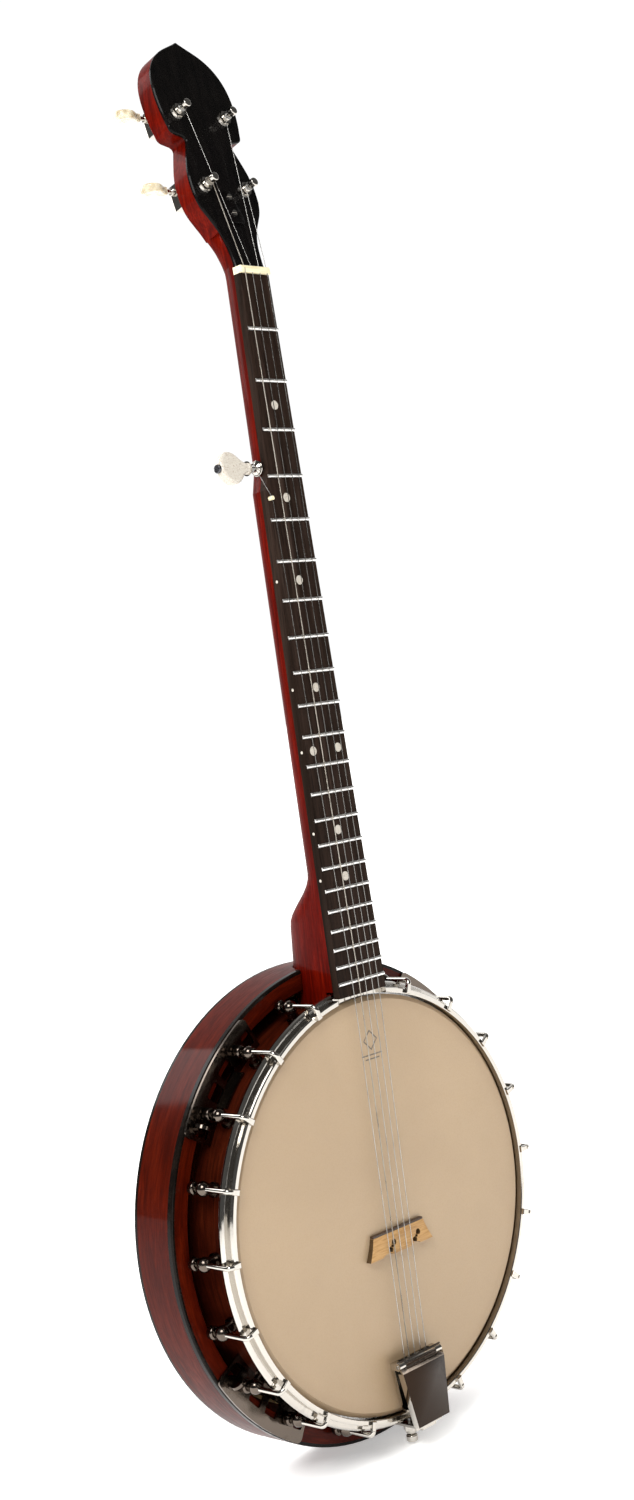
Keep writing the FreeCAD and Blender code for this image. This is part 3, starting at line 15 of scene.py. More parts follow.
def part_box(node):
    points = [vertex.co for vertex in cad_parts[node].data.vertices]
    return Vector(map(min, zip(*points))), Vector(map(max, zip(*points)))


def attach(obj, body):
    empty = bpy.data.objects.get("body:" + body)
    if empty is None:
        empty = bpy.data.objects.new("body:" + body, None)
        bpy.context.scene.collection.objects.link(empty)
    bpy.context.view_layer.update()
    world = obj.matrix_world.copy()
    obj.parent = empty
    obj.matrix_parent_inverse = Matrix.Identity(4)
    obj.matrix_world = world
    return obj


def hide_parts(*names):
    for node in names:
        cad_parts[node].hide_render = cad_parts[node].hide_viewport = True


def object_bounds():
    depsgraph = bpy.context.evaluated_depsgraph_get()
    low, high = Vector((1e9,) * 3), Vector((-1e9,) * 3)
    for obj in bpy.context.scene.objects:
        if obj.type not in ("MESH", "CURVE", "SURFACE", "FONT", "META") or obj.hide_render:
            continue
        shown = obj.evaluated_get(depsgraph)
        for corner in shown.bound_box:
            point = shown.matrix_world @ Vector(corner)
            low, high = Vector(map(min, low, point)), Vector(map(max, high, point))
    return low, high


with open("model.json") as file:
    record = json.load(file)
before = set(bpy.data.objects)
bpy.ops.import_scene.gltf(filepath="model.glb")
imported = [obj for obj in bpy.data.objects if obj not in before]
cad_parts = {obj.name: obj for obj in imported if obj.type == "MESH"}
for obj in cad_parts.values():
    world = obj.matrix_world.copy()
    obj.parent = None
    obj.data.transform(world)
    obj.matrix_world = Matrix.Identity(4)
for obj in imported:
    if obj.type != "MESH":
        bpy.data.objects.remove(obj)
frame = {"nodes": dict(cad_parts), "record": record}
cad_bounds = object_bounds()
NODES = frame["nodes"]
RECORD = frame["record"]
MM = 0.001

# resonator back: radii of the two inlaid rings, half width of each line and where it has faded out
INLAY_RADII = (0.098, 0.140)
INLAY_HALF_WIDTH = 0.0010
INLAY_FADED = 0.0014

# strings on the tuner posts and the fifth peg
WOUND_STRING_POST = 1
POSTS_WOUND_FROM_RIGHT = (1, 3)
PLAIN_RADIUS = 0.27 * MM
WOUND_RADIUS = 0.40 * MM
WRAP_SPACING = 0.00034
COIL_STEPS = 18
COIL_PITCH_PER_RADIUS = 2.1
POST_TURNS = 3.0
POST_COIL_HEIGHT = 5.3 * MM
POST_COIL_RADII = (2.62 * MM, 2.12 * MM)
POST_HOLE_HEIGHT = 7.4 * MM
POST_TAIL_REACH = 3.6 * MM
FIFTH_TURNS = 4.0
FIFTH_COIL_RADIUS = 2.7 * MM

# soft edges
EDGE_SEGMENTS = 2
EDGE_ANGLE = math.radians(35)
WELD_DISTANCE = 2e-6
FLAT_ANGLE = math.radians(0.6)
SOFT_EDGES = (("bridge_cap", 0.25 * MM), ("nut", 0.30 * MM), ("truss_rod_cover", 0.25 * MM))
BRIDGE_EDGE = 0.35 * MM
LID_EDGE = 0.25 * MM

# mark on the head: a lozenge over two bars, placed (x, z) from the head centre
MARK_PLACE = (0.0045, 0.104)
MARK_PROUD = 0.00001
INK_THICKNESS = 0.00004
LOZENGE_RISE = 0.006
LOZENGE_RADIUS = 0.0070
LOZENGE_LINE = 0.0013
BARS = ((0.0035, 0.010), (0.0062, 0.007))
BAR_THICKNESS = 0.0009

# studio
FLOOR_GAP = 0.0015
FLOOR_REACH = 40.0
WORLD_FACING = (0.70, 0.70, 0.12)
WORLD_STOPS = ((0.30, 0.10), (0.55, 0.30), (0.72, 1.05))
LIGHT_AIM_ABOVE_HEAD = 0.25
KEY_WATTS = 34
SIDE_WATTS = 7
SUN_STRENGTH = 3.3
SUN_ANGLE = math.radians(115)

# camera, placed from the head centre
CAMERA_FROM_HEAD = Vector((-0.94494, -0.91886, 0.33938))
CAMERA_HEADING = 0.79459
CAMERA_ELEVATION = -0.02321
CAMERA_ROLL = -0.13339
LENS = 47.161
SENSOR_WIDTH = 36.0


def head_centre():
    low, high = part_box("drum_head")
    return Vector(((low.x + high.x) / 2, low.y, (low.z + high.z) / 2))


HEAD = head_centre()
HEAD_R = (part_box("drum_head")[1].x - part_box("drum_head")[0].x) / 2
RIM_R = (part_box("resonator_side")[1].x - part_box("resonator_side")[0].x) / 2


# ---- shader building blocks ---------------------------------------------------------------------
class Look:
    """A procedural material under construction, with short calls for the nodes used here."""

    def __init__(self, name, **sockets):
        self.mat = bpy.data.materials.new(name)
        self.mat.use_nodes = True
        self.tree = self.mat.node_tree
        self.bsdf = self.tree.nodes["Principled BSDF"]
        self.set(**sockets)

    def set(self, **sockets):
        for key, value in sockets.items():
            self.bsdf.inputs[key.replace("_", " ")].default_value = value

    def feed(self, socket, output):
        self.tree.links.new(output, self.bsdf.inputs[socket])

    def node(self, kind, inputs=(), **settings):
        node = self.tree.nodes.new(kind)
        for key, value in settings.items():
            setattr(node, key, value)
        for key, value in dict(inputs).items():
            if isinstance(value, bpy.types.NodeSocket):
                self.tree.links.new(value, node.inputs[key])
            else:
                node.inputs[key].default_value = value
        return node

    def place(self, scale=(1, 1, 1), turn=(0, 0, 0), origin=(0, 0, 0)):
        """Object coordinates measured from origin, turned and scaled."""
        source = self.node("ShaderNodeTexCoord").outputs["Object"]
        moved = self.node("ShaderNodeVectorMath", {0: source, 1: tuple(origin)}, operation="SUBTRACT")
        inputs = {"Vector": moved.outputs[0], "Rotation": turn, "Scale": scale}
        return self.node("ShaderNodeMapping", inputs).outputs[0]

    def noise(self, vector, scale, detail=4.0, rough=0.5, warp=0.0):
        inputs = {"Vector": vector, "Scale": scale, "Detail": detail, "Roughness": rough,
                  "Distortion": warp}
        return self.node("ShaderNodeTexNoise", inputs).outputs["Fac"]

    def cells(self, vector, scale):
        return self.node("ShaderNodeTexVoronoi", {"Vector": vector, "Scale": scale}).outputs[0]

    def math(self, kind, a, b=0.0):
        return self.node("ShaderNodeMath", {0: a, 1: b}, operation=kind).outputs[0]

    def spread(self, value, low, high, to_low=0.0, to_high=1.0):
        """Stretch a range of a value to another range and hold it at the ends."""
        inputs = {"Value": value, "From Min": low, "From Max": high, "To Min": to_low, "To Max": to_high}
        return self.node("ShaderNodeMapRange", inputs, interpolation_type="SMOOTHSTEP").outputs[0]

    def ramp(self, value, *stops):
        node = self.node("ShaderNodeValToRGB", {"Fac": value})
        ramp = node.color_ramp
        while len(ramp.elements) < len(stops):
            ramp.elements.new(0.5)
        for element, (place, colour) in zip(ramp.elements, stops):
            element.position = place
            element.color = (*colour, 1)
        return node.outputs["Color"]

    def blend(self, amount, a, b):
        """Mix two colours, each an output of another node or a plain (red, green, blue)."""
        def full(value):
            return value if isinstance(value, bpy.types.NodeSocket) else (*value, 1)
        inputs = {"Factor": amount, 6: full(a), 7: full(b)}
        return self.node("ShaderNodeMix", inputs, data_type="RGBA").outputs[2]

    def bump(self, height, strength, distance):
        inputs = {"Height": height, "Strength": strength, "Distance": distance}
        return self.node("ShaderNodeBump", inputs).outputs[0]

    def flat_reach(self, parts):
        """Distance from the Y axis of separated coordinates."""
        flat = self.node("ShaderNodeCombineXYZ", {0: parts.outputs["X"], 1: 0.0, 2: parts.outputs["Z"]})
        return self.node("ShaderNodeVectorMath", {0: flat.outputs[0]}, operation="LENGTH").outputs["Value"]

    def polar(self, origin, radius, along):
        """Coordinates that wrap round the drum: arc length, depth along Y, and radius."""
        parts = self.node("ShaderNodeSeparateXYZ", {0: self.place(origin=origin)})
        angle = self.math("ARCTAN2", parts.outputs["X"], parts.outputs["Z"])
        arc = self.math("MULTIPLY", angle, radius * along[0])
        depth = self.math("MULTIPLY", parts.outputs["Y"], along[1])
        out = self.math("MULTIPLY", self.flat_reach(parts), along[2])
        return self.node("ShaderNodeCombineXYZ", {0: arc, 1: depth, 2: out}).outputs[0]

    def radius_from(self, origin):
        return self.flat_reach(self.node("ShaderNodeSeparateXYZ", {0: self.place(origin=origin)}))


# ---- wood ---------------------------------------------------------------------------------------
def finish_wood(look, vector, dark, mid, light, gloss):
    """Stained wood: broad streaks, fine grain and pores under clear lacquer with faint orange peel."""
    look.set(Roughness=0.42, Specular_IOR_Level=0.02, Coat_Weight=0.20, Coat_Roughness=gloss, Coat_IOR=1.38)
    streaks = look.noise(vector, 9.0, 6.0, 0.62, 1.1)
    fine = look.noise(vector, 46.0, 5.0, 0.7, 0.2)
    specks = look.noise(vector, 170.0, 2.0, 0.5)
    base = look.ramp(streaks, (0.28, dark), (0.50, mid), (0.74, light))
    lined = look.blend(look.spread(fine, 0.42, 0.62, 0.0, 0.55), base, dark)
    shaded = look.blend(look.spread(specks, 0.56, 0.70, 0.0, 0.40), lined, dark)
    cloud = look.noise(look.place(), 14.0, 3.0)
    colour = look.blend(look.spread(cloud, 0.35, 0.68, 0.0, 0.30), shaded, dark)
    look.feed("Base Color", colour)
    look.feed("Roughness", look.spread(fine, 0.3, 0.7, 0.34, 0.50))
    look.feed("Coat Normal", look.bump(look.noise(look.place(), 420.0, 2.0), 0.03, 0.0004))
    look.feed("Normal", look.bump(fine, 0.05, 0.0002))
    smears = look.noise(look.place(), 24.0, 3.0, 0.6, 0.5)
    look.feed("Coat Roughness", look.spread(smears, 0.40, 0.70, gloss * 0.7, gloss * 1.8))
    return look


# ---- metal --------------------------------------------------------------------------------------
def plated(name, tint, rough=0.09, haze=0.10, dark=(0.22, 0.20, 0.18), tarnish=0.25):
    """Polished plate with hazy patches, hairline scratches and a little tarnish."""
    look = Look(name, Metallic=1.0)
    patches = look.noise(look.place(), 55.0, 4.0, 0.6, 0.6)
    hairs = look.noise(look.place((1.0, 1.0, 9.0), (0.5, 0.3, 0.2)), 260.0, 3.0, 0.7)
    spots = look.noise(look.place(), 340.0, 3.0, 0.6)
    stain = look.math("MULTIPLY", look.spread(patches, 0.50, 0.72), look.spread(spots, 0.45, 0.7))
    look.feed("Base Color", look.blend(look.math("MULTIPLY", stain, tarnish), tint, dark))
    worn = look.spread(patches, 0.35, 0.70, rough, rough + haze)
    look.feed("Roughness", look.math("ADD", worn, look.spread(hairs, 0.55, 0.75, 0.0, 0.06)))
    look.feed("Normal", look.bump(hairs, 0.04, 0.0001))
    return look.mat


def brushed(name, tint, axis_scale, rough=0.28):
    look = Look(name, Metallic=1.0)
    lines = look.noise(look.place(axis_scale), 300.0, 4.0, 0.7)
    dirt = look.noise(look.place(), 80.0, 4.0, 0.6)
    dull = tuple(c * 0.55 for c in tint)
    look.feed("Base Color", look.blend(look.spread(dirt, 0.45, 0.75, 0.0, 0.7), tint, dull))
    look.feed("Roughness", look.spread(lines, 0.3, 0.7, rough * 0.75, rough * 1.35))
    look.feed("Normal", look.bump(lines, 0.10, 0.0001))
    return look.mat


# ---- all looks ----------------------------------------------------------------------------------
def skin_look():
    """Coated film: cream, faintly mottled, a little darker in a ring at its edge next to the hoop."""
    look = Look("head_film", Roughness=0.48, Subsurface_Weight=0.12, Subsurface_Scale=0.004)
    look.set(Subsurface_Radius=(1.0, 0.7, 0.4), Coat_Weight=0.10, Coat_Roughness=0.35)
    broad = look.noise(look.place(), 8.0, 4.0, 0.55, 0.4)
    grit = look.noise(look.place(), 900.0, 3.0, 0.6)
    reach = look.radius_from(HEAD)
    edge = look.spread(reach, HEAD_R * 0.90, HEAD_R * 1.0, 0.0, 0.35)
    base = look.ramp(broad, (0.30, (0.376, 0.264, 0.158)), (0.70, (0.421, 0.298, 0.180)))
    toned = look.blend(look.spread(grit, 0.45, 0.65, 0.0, 0.14), base, (0.33, 0.226, 0.134))
    look.feed("Base Color", look.blend(edge, toned, (0.30, 0.20, 0.117)))
    look.feed("Roughness", look.spread(grit, 0.3, 0.7, 0.42, 0.58))
    look.feed("Normal", look.bump(grit, 0.16, 0.00008))
    return look.mat


def board_look():
    """Dark oiled fingerboard with long open pores and a soft sheen."""
    look = Look("fingerboard_wood", Roughness=0.40, Specular_IOR_Level=0.03)
    vector = look.place((60.0, 60.0, 1.6))
    streaks = look.noise(vector, 2.2, 5.0, 0.6, 0.8)
    pores = look.noise(look.place((420.0, 420.0, 9.0)), 2.4, 3.0, 0.6)
    base = look.ramp(streaks, (0.30, (0.010, 0.006, 0.004)), (0.55, (0.025, 0.015, 0.011)),
                     (0.78, (0.052, 0.034, 0.026)))
    in_pores = look.spread(pores, 0.54, 0.66, 0.0, 0.8)
    look.feed("Base Color", look.blend(in_pores, base, (0.007, 0.005, 0.004)))
    look.feed("Roughness", look.spread(streaks, 0.3, 0.7, 0.30, 0.46))
    look.feed("Normal", look.bump(look.spread(pores, 0.5, 0.66, 1.0, 0.0), 0.35, 0.00012))
    return look.mat


def black_lacquer():
    look = Look("black_lacquer", Roughness=0.32, Specular_IOR_Level=0.03)
    look.set(Coat_Weight=0.13, Coat_Roughness=0.06)
    grain = look.noise(look.place((90.0, 90.0, 3.0)), 2.0, 4.0, 0.6, 0.4)
    dust = look.noise(look.place(), 700.0, 2.0)
    look.feed("Base Color", look.ramp(grain, (0.35, (0.0016, 0.0014, 0.0013)),
                                      (0.75, (0.0042, 0.0034, 0.0030))))
    look.feed("Roughness", look.spread(dust, 0.4, 0.7, 0.24, 0.40))
    look.feed("Coat Normal", look.bump(look.noise(look.place(), 60.0, 2.0), 0.04, 0.0004))
    return look.mat


def celluloid_black():
    look = Look("black_edging", Roughness=0.26, Specular_IOR_Level=0.05)
    look.set(Coat_Weight=0.12, Coat_Roughness=0.08)
    wear = look.noise(look.place(), 120.0, 4.0, 0.65)
    look.feed("Base Color", look.ramp(wear, (0.40, (0.004, 0.003, 0.0025)), (0.80, (0.010, 0.006, 0.004))))
    look.feed("Roughness", look.spread(wear, 0.35, 0.75, 0.16, 0.36))
    look.feed("Normal", look.bump(wear, 0.05, 0.0002))
    return look.mat


def pearl_look():
    look = Look("shell_pearl", Roughness=0.18, Coat_Weight=0.35, Coat_Roughness=0.06)
    swirl = look.noise(look.place((1, 1, 2.2)), 420.0, 4.0, 0.6, 2.2)
    look.feed("Base Color", look.ramp(swirl, (0.30, (0.31, 0.25, 0.20)), (0.50, (0.62, 0.57, 0.49)),
                                      (0.70, (0.45, 0.44, 0.39))))
    look.feed("Roughness", look.spread(swirl, 0.3, 0.7, 0.12, 0.28))
    return look.mat


def pearloid_look():
    """Cream celluloid buttons with cloudy flakes."""
    look = Look("cream_pearloid", Roughness=0.24, Coat_Weight=0.5, Coat_Roughness=0.08)
    look.set(Subsurface_Weight=0.25, Subsurface_Scale=0.003, Subsurface_Radius=(1.0, 0.75, 0.45))
    warped = look.noise(look.place(), 150.0, 3.0, 0.6, 1.6)
    flakes = look.cells(look.place(), 190.0)
    mixed = look.math("ADD", look.math("MULTIPLY", warped, 0.65), look.math("MULTIPLY", flakes, 0.5))
    look.feed("Base Color", look.ramp(mixed, (0.35, (0.40, 0.32, 0.19)), (0.60, (0.60, 0.53, 0.38)),
                                      (0.85, (0.72, 0.68, 0.55))))
    look.feed("Roughness", look.spread(warped, 0.3, 0.7, 0.16, 0.34))
    look.feed("Normal", look.bump(warped, 0.05, 0.0002))
    return look.mat


def bone_look():
    look = Look("bone", Roughness=0.35)
    look.set(Subsurface_Weight=0.2, Subsurface_Scale=0.002, Subsurface_Radius=(1.0, 0.8, 0.5))
    fibres = look.noise(look.place((3.0, 60.0, 60.0)), 14.0, 4.0, 0.6)
    look.feed("Base Color", look.ramp(fibres, (0.35, (0.70, 0.60, 0.36)), (0.70, (0.90, 0.84, 0.62))))
    look.feed("Roughness", look.spread(fibres, 0.3, 0.7, 0.28, 0.44))
    look.feed("Normal", look.bump(fibres, 0.08, 0.0001))
    return look.mat


def maple_look(name, depth):
    """Pale unvarnished maple with fine flecks along its width; depth scales the colour down, as for the
    bridge's dark copy that is end grain and painted shade.
    """
    def shade(red, green, blue):
        return red * depth, green * depth, blue * depth
    look = Look(name, Roughness=0.5, Specular_IOR_Level=0.2)
    grain = look.noise(look.place((6.0, 70.0, 70.0)), 9.0, 5.0, 0.62, 0.6)
    flecks = look.noise(look.place((40.0, 400.0, 400.0)), 3.0, 3.0, 0.6)
    base = look.ramp(grain, (0.32, shade(0.32, 0.170, 0.062)), (0.52, shade(0.44, 0.255, 0.100)),
                     (0.75, shade(0.53, 0.330, 0.145)))
    in_flecks = look.spread(flecks, 0.55, 0.70, 0.0, 0.5)
    look.feed("Base Color", look.blend(in_flecks, base, shade(0.24, 0.12, 0.045)))
    look.feed("Roughness", look.spread(grain, 0.3, 0.7, 0.42, 0.6))
    look.feed("Normal", look.bump(flecks, 0.12, 0.0001))
    return look.mat


def ebony_look():
    look = Look("bridge_ebony", Roughness=0.4)
    grain = look.noise(look.place((8.0, 90.0, 90.0)), 9.0, 4.0, 0.6)
    look.feed("Base Color", look.ramp(grain, (0.35, (0.030, 0.016, 0.009)), (0.75, (0.090, 0.050, 0.028))))
    look.feed("Roughness", look.spread(grain, 0.3, 0.7, 0.30, 0.48))
    look.feed("Normal", look.bump(grain, 0.08, 0.0001))
    return look.mat


def winding_look():
    """Bronze wrap on the low string: close rings across the string's length."""
    look = Look("wound_wire", Metallic=1.0, Roughness=0.3)
    parts = look.node("ShaderNodeSeparateXYZ", {0: look.place()})
    rings = look.math("SINE", look.math("MULTIPLY", parts.outputs["Z"], 2 * math.pi / WRAP_SPACING))
    dull = look.noise(look.place(), 60.0, 3.0)
    look.feed("Base Color", look.ramp(dull, (0.35, (0.30, 0.27, 0.23)), (0.70, (0.50, 0.46, 0.40))))
    look.feed("Roughness", look.spread(dull, 0.3, 0.7, 0.26, 0.42))
    look.feed("Normal", look.bump(rings, 0.5, 0.00008))
    return look.mat


def neck_look():
    """Red-stained mahogany with its grain along the neck and a thinner coat than the resonator's."""
    look = Look("neck_mahogany")
    dark, mid, light = (0.038, 0.0012, 0.0003), (0.108, 0.0030, 0.0005), (0.170, 0.0070, 0.0012)
    finish_wood(look, look.place((16.0, 16.0, 1.1)), dark, mid, light, 0.10)
    look.set(Coat_Weight=0.09)
    return look.mat


def resonator_side_look():
    look = Look("resonator_wrapped_wood")
    vector = look.polar(HEAD, RIM_R, (1.6, 16.0, 16.0))
    dark, mid, light = (0.028, 0.0020, 0.0004), (0.068, 0.0048, 0.0008), (0.112, 0.0100, 0.0018)
    finish_wood(look, vector, dark, mid, light, 0.08)
    return look.mat


def rim_look():
    look = Look("rim_wrapped_wood")
    vector = look.polar(HEAD, HEAD_R, (1.6, 20.0, 20.0))
    dark, mid, light = (0.014, 0.0020, 0.0007), (0.042, 0.0052, 0.0016), (0.080, 0.0130, 0.0040)
    finish_wood(look, vector, dark, mid, light, 0.14)
    return look.mat


def resonator_back_look():
    """Figured back with two thin marquetry rings."""
    look = Look("resonator_back_wood")
    dark, mid, light = (0.028, 0.0034, 0.0010), (0.086, 0.0110, 0.0028), (0.175, 0.0300, 0.0080)
    finish_wood(look, look.place((15.0, 15.0, 1.3)), dark, mid, light, 0.09)
    reach = look.radius_from(HEAD)
    ring = None
    for radius in INLAY_RADII:
        distance = look.math("ABSOLUTE", look.math("SUBTRACT", reach, radius))
        line = look.spread(distance, INLAY_HALF_WIDTH, INLAY_FADED, 1.0, 0.0)
        ring = line if ring is None else look.math("MAXIMUM", ring, line)
    colour = look.bsdf.inputs["Base Color"].links[0].from_socket
    look.feed("Base Color", look.blend(ring, colour, (0.60, 0.42, 0.20)))
    return look.mat


def make_looks():
    return {
        "rim_wood": rim_look(), "resonator_wood": resonator_side_look(), "neck_wood": neck_look(),
        "tone_brass": plated("bell_brass", (0.72, 0.55, 0.28), 0.16),
        "skin": skin_look(), "rosewood": board_look(),
        "steel": brushed("zinc_steel", (0.50, 0.50, 0.50), (1.0, 6.0, 1.0)),
        "chrome": plated("polished_chrome", (0.53, 0.50, 0.455), 0.06),
        # very dark plating tint: painted shade and dark reflection for the plated parts in the recess
        # behind the hoop
        "cast_plate": plated("cast_plate", (0.125, 0.102, 0.085), 0.11, 0.12, (0.06, 0.04, 0.025), 0.5),
        # the lid's top and nose colours are painted reflection on the plated lid: dark for the top,
        # mid-tone for the nose
        "lid_top": plated("lid_top_painted_dark_reflection", (0.025, 0.016, 0.011), 0.16, 0.10, (0.02, 0.013, 0.010), 0.4),
        "lid_nose": plated("lid_nose_painted_reflection", (0.34, 0.28, 0.23), 0.20, 0.10, (0.12, 0.08, 0.05), 0.5),
        "black_chrome": plated("smoked_plate", (0.34, 0.29, 0.25), 0.13, 0.12, (0.10, 0.06, 0.04), 0.6),
        "black_binding": celluloid_black(), "peg_black": black_lacquer(),
        "nickel_silver": brushed("fret_silver", (0.93, 0.91, 0.88), (1.0, 4.0, 4.0), 0.32),
        "bone": bone_look(), "pearl": pearl_look(), "pearloid": pearloid_look(),
        "black_steel": plated("blued_steel", (0.10, 0.10, 0.11), 0.25),
        "string_steel": brushed("music_wire", (0.36, 0.35, 0.33), (1.0, 1.0, 0.1), 0.24),
        "string_wound": winding_look(), "maple": maple_look("bridge_maple", 1.0),
        # the bridge's dark maple copy is partly darker end grain and partly painted shade for its ends and
        # arch insides
        "end_grain_and_painted_shade": maple_look("bridge_end_grain_and_painted_shade", 0.16), "ebony": ebony_look(),
    }


def dress_nodes(looks):
    """Give every CAD node the look of its material slot."""
    for part in RECORD["subparts"]:
        node = NODES[part["node"]]
        look = looks[part["material_slot"]]
        for slot in node.material_slots:
            slot.material = look
        if not node.material_slots:
            node.data.materials.append(look)
    NODES["resonator_back"].material_slots[0].material = resonator_back_look()
    # flange plates, hook nuts, bracket shoes and thumbscrews get the very dark plating, painted shade and
    # dark reflection from the recess between resonator lip and rim
    for name, node in NODES.items():
        if name.startswith("flange_plate") or name in ("hook_nuts", "bracket_shoes", "flange_thumbscrews"):
            node.material_slots[0].material = looks["cast_plate"]
    NODES["fifth_peg_button"].material_slots[0].material = looks["pearl"]


# ---- pieces -------------------------------------------------------------------------------------
def add_piece(name, mesh_or_curve, look, body):
    piece = bpy.data.objects.new(name, mesh_or_curve)
    bpy.context.scene.collection.objects.link(piece)
    piece.data.materials.append(look)
    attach(piece, body)
    return piece


def body_of_node(node):
    for body, nodes in RECORD["behaviour"]["bodies"].items():
        if node in nodes:
            return body
    return "frame"


def slot_of_node(node):
    return next(p["material_slot"] for p in RECORD["subparts"] if p["node"] == node)


def softened(node, looks, width, extra=(), choose=None):
    """Copy of a CAD node with its sharp edges rounded, standing for that node.

    extra names more looks, and choose gives the number of the look for a face from its normal.
    """
    source = NODES[node]
    mesh = source.data.copy()
    work = bmesh.new()
    work.from_mesh(mesh)
    bmesh.ops.remove_doubles(work, verts=work.verts, dist=WELD_DISTANCE)
    bmesh.ops.dissolve_limit(work, angle_limit=FLAT_ANGLE, verts=work.verts, edges=work.edges)
    work.to_mesh(mesh)
    work.free()
    mesh.materials.clear()
    slot = slot_of_node(node)
    piece = add_piece("soft_" + node, mesh, looks[slot], body_of_node(node))
    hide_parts(node)
    bevel = piece.modifiers.new("soft edges", "BEVEL")
    bevel.width = width
    bevel.segments = EDGE_SEGMENTS
    bevel.limit_method = "ANGLE"
    bevel.angle_limit = EDGE_ANGLE
    bevel.harden_normals = True
    for name in extra:
        mesh.materials.append(looks[name])
    for polygon in mesh.polygons:
        polygon.use_smooth = True
        if choose:
            polygon.material_index = choose(polygon.normal)
    return piece


def lid_face_painted_reflection(normal):
    """Painted reflection on one plated lid, by face direction: dark flat top, mid-tone sloping nose in
    front, bright plated sides.
    """
    if normal.y < -0.6 and normal.z > 0.25:
        return 2
    return 1 if normal.y < -0.85 else 0


def bridge_face_painted_shade(normal):
    """Painted shade at the ends and inside the arches, on the dark maple copy that also stands for darker
    end grain.
    """
    return 1 if abs(normal.x) > 0.45 or normal.y > 0.3 else 0


def wire(name, points, radius, look, body):
    """Round wire through points as a smooth mesh tube."""
    curve = bpy.data.curves.new(name, "CURVE")
    curve.dimensions = "3D"
    curve.bevel_depth = radius
    curve.bevel_resolution = 3
    curve.use_fill_caps = True
    spline = curve.splines.new("POLY")
    spline.points.add(len(points) - 1)
    for target, point in zip(spline.points, points):
        target.co = (*point, 1)
    return add_piece(name, curve, look, body)


def joint_named(name):
    return next(j for j in RECORD["behaviour"]["joints"] if j["name"] == name)


# ---- string windings on the posts ---------------------------------------------------------------
def winding_points(centre, axis, start, turns, pitch, radii):
    """Coil about an axis that begins in the start direction and climbs by pitch each turn."""
    start = (start - axis * start.dot(axis)).normalized()
    across = axis.cross(start)
    points = []
    for i in range(int(turns * COIL_STEPS) + 1):
        share = i / (turns * COIL_STEPS)
        angle = 2 * math.pi * i / COIL_STEPS
        radius = radii[0] + (radii[1] - radii[0]) * share
        around = start * math.cos(angle) + across * math.sin(angle)
        points.append(centre + axis * (pitch * i / COIL_STEPS) + around * radius)
    return points


def add_windings(looks):
    """Three turns of string on each post, ending in the post's hole."""
    for number in (1, 2, 3, 4):
        joint = joint_named("post_%d_turn" % number)
        axis = Vector(joint["axis"])
        centre = Vector(joint["pos_m"])
        wound = number == WOUND_STRING_POST
        radius = WOUND_RADIUS if wound else PLAIN_RADIUS
        side = 1 if number in POSTS_WOUND_FROM_RIGHT else -1
        start = Vector((side, 0, 0))
        slot = "string_wound" if wound else "string_steel"
        base = centre + axis * POST_COIL_HEIGHT
        pitch = radius * COIL_PITCH_PER_RADIUS
        radii = [waist + radius for waist in POST_COIL_RADII]
        coil = winding_points(base, axis, start, POST_TURNS, pitch, radii)
        tail = [coil[-1] + axis * pitch, centre + axis * POST_HOLE_HEIGHT - start * POST_TAIL_REACH]
        wire("winding_%d" % number, coil + tail, radius, looks[slot], "post_%d" % number)


def add_fifth_winding(looks):
    joint = joint_named("fifth_peg_turn")
    axis = Vector(joint["axis"])
    centre = Vector(joint["pos_m"])
    string_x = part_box("plain_strings")[0].x + PLAIN_RADIUS
    base = Vector((string_x, centre.y, centre.z))
    pitch = PLAIN_RADIUS * COIL_PITCH_PER_RADIUS
    radii = (FIFTH_COIL_RADIUS + PLAIN_RADIUS,) * 2
    coil = winding_points(base, axis, Vector((0, -1, 0)), FIFTH_TURNS, pitch, radii)
    wire("winding_5", coil, PLAIN_RADIUS, looks["string_steel"], "fifth_peg")


# ---- mark on the head ---------------------------------------------------------------------------
def flat_shape(name, outlines, y, look, body):
    """Thin printed shapes that lie on the head, each outline a list of (x, z)."""
    mesh = bpy.data.meshes.new(name)
    work = bmesh.new()
    for outline in outlines:
        corners = [work.verts.new((HEAD.x + x, y, HEAD.z + z)) for x, z in outline]
        face = work.faces.new(corners)
        solid = bmesh.ops.extrude_face_region(work, geom=[face])
        moved = [v for v in solid["geom"] if isinstance(v, bmesh.types.BMVert)]
        bmesh.ops.translate(work, verts=moved, vec=(0, -INK_THICKNESS, 0))
    bmesh.ops.recalc_face_normals(work, faces=work.faces)
    work.to_mesh(mesh)
    work.free()
    return add_piece(name, mesh, look, body)


def ring_outline(centre, radius, width, count):
    """Closed band of quads round a regular polygon."""
    quads = []
    for i in range(count):
        a = 2 * math.pi * i / count
        b = 2 * math.pi * (i + 1) / count
        quad = []
        for angle, reach in ((a, radius), (b, radius), (b, radius - width), (a, radius - width)):
            quad.append((centre[0] + reach * math.cos(angle), centre[1] + reach * math.sin(angle)))
        quads.append(quad)
    return quads


def add_head_mark():
    """Small generic printed lozenge over two thin bars."""
    ink = Look("printed_ink", Roughness=0.6)
    fade = ink.noise(ink.place(), 600.0, 3.0)
    ink.feed("Base Color", ink.ramp(fade, (0.35, (0.10, 0.085, 0.070)), (0.75, (0.24, 0.19, 0.14))))
    x, z = MARK_PLACE
    shapes = ring_outline((x, z + LOZENGE_RISE), LOZENGE_RADIUS, LOZENGE_LINE, 4)
    for drop, half in BARS:
        high = z - drop
        low = high - BAR_THICKNESS
        shapes.append([(x - half, low), (x + half, low), (x + half, high), (x - half, high)])
    flat_shape("head_mark", shapes, HEAD.y - MARK_PROUD, ink.mat, "frame")


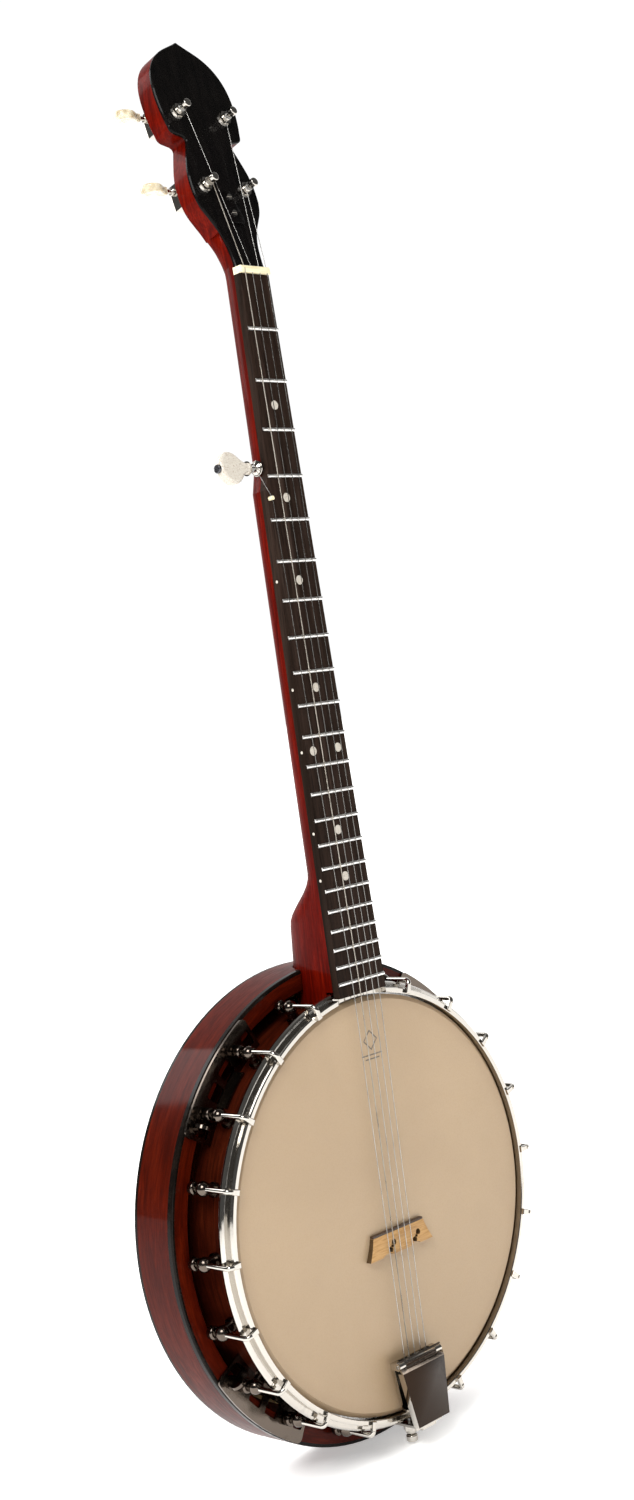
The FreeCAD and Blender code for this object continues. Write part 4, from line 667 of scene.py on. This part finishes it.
# ---- studio -------------------------------------------------------------------------------------
def pale_floor():
    """Wide flat pale floor just under the lowest point."""
    look = Look("pale_paper", Roughness=0.85, Specular_IOR_Level=0.2, Emission_Strength=0.42)
    look.set(Emission_Color=(1.0, 0.995, 0.985, 1.0))
    fibre = look.noise(look.place(), 60.0, 4.0)
    look.feed("Base Color", look.ramp(fibre, (0.3, (0.90, 0.895, 0.885)), (0.7, (0.93, 0.925, 0.915))))
    low = cad_bounds[0].z - FLOOR_GAP
    mesh = bpy.data.meshes.new("sweep")
    work = bmesh.new()
    reach = FLOOR_REACH
    corners = [(-reach, -reach), (reach, -reach), (reach, reach), (-reach, reach)]
    work.faces.new([work.verts.new((x, y, low)) for x, y in corners])
    work.to_mesh(mesh)
    work.free()
    floor = bpy.data.objects.new("floor", mesh)
    bpy.context.scene.collection.objects.link(floor)
    mesh.materials.append(look.mat)


def soft_box(name, place, target, width, height, power):
    data = bpy.data.lights.new(name, "AREA")
    data.shape = "RECTANGLE"
    data.size = width
    data.size_y = height
    data.energy = power
    lamp = bpy.data.objects.new(name, data)
    bpy.context.scene.collection.objects.link(lamp)
    lamp.location = place
    lamp.rotation_euler = (target - place).to_track_quat("-Z", "Y").to_euler()


def studio_world():
    """White surround with a darker band low on the front side, so that plating shows light and dark."""
    world = bpy.data.worlds.new("studio")
    bpy.context.scene.world = world
    world.use_nodes = True
    tree = world.node_tree
    back = tree.nodes["Background"]
    coords = tree.nodes.new("ShaderNodeTexCoord")
    facing = tree.nodes.new("ShaderNodeVectorMath")
    facing.operation = "DOT_PRODUCT"
    facing.inputs[1].default_value = WORLD_FACING
    ramp = tree.nodes.new("ShaderNodeValToRGB")
    tree.links.new(coords.outputs["Generated"], facing.inputs[0])
    tree.links.new(facing.outputs["Value"], ramp.inputs["Fac"])
    tree.links.new(ramp.outputs["Color"], back.inputs["Color"])
    ramp.color_ramp.elements.new(0.5)
    for element, (place, value) in zip(ramp.color_ramp.elements, WORLD_STOPS):
        element.position = place
        element.color = (value, value, value, 1)
    back.inputs["Strength"].default_value = 1.0


def add_camera():
    data = bpy.data.cameras.new("camera")
    data.lens = LENS
    data.sensor_width = SENSOR_WIDTH
    data.clip_start = 0.01
    data.clip_end = 60.0
    camera = bpy.data.objects.new("camera", data)
    bpy.context.scene.collection.objects.link(camera)
    level = math.cos(CAMERA_ELEVATION)
    forward = Vector((math.sin(CAMERA_HEADING) * level, math.cos(CAMERA_HEADING) * level,
                      math.sin(CAMERA_ELEVATION)))
    right = forward.cross(Vector((0, 0, 1))).normalized()
    up = right.cross(forward)
    c, s = math.cos(CAMERA_ROLL), math.sin(CAMERA_ROLL)
    tilted_right = right * c + up * s
    tilted_up = up * c - right * s
    basis = Matrix((tilted_right, tilted_up, -forward)).transposed().to_4x4()
    camera.matrix_world = Matrix.Translation(HEAD + CAMERA_FROM_HEAD) @ basis
    bpy.context.scene.camera = camera
    return forward, tilted_right


def light_scene(forward, right):
    up = Vector((0, 0, 1))
    middle = HEAD + up * LIGHT_AIM_ABOVE_HEAD
    key = middle - forward * 1.5 - right * 0.5 + up * 1.3
    soft_box("key", key, middle, 1.0, 1.0, KEY_WATTS)
    side = HEAD - right * 1.1 + forward * 0.5 + up * 1.0
    soft_box("side", side, HEAD, 0.5, 0.9, SIDE_WATTS)
    daylight = bpy.data.lights.new("overhead", "SUN")
    daylight.energy = SUN_STRENGTH
    daylight.angle = SUN_ANGLE
    lamp = bpy.data.objects.new("overhead", daylight)
    bpy.context.scene.collection.objects.link(lamp)
    lamp.visible_glossy = False
    lamp.rotation_euler = (up * 1.0 - right * 0.05 + forward * 0.05).to_track_quat("Z", "Y").to_euler()
    scene = bpy.context.scene
    scene.view_settings.view_transform = "Standard"
    scene.view_settings.look = "None"


def main():
    looks = make_looks()
    dress_nodes(looks)
    # bridge: its ends and arch insides get the dark maple copy, painted shade as well as end grain
    softened("bridge", looks, BRIDGE_EDGE, ("end_grain_and_painted_shade",), bridge_face_painted_shade)
    for node, width in SOFT_EDGES:
        softened(node, looks, width)
    # the lid's sides get bright chrome, and its top and nose get the painted-reflection colours
    lid_looks = {**looks, "black_chrome": looks["chrome"]}
    softened("tailpiece_lid", lid_looks, LID_EDGE, ("lid_top", "lid_nose"), lid_face_painted_reflection)
    add_windings(looks)
    add_fifth_winding(looks)
    add_head_mark()
    pale_floor()
    studio_world()
    forward, right = add_camera()
    light_scene(forward, right)


main()
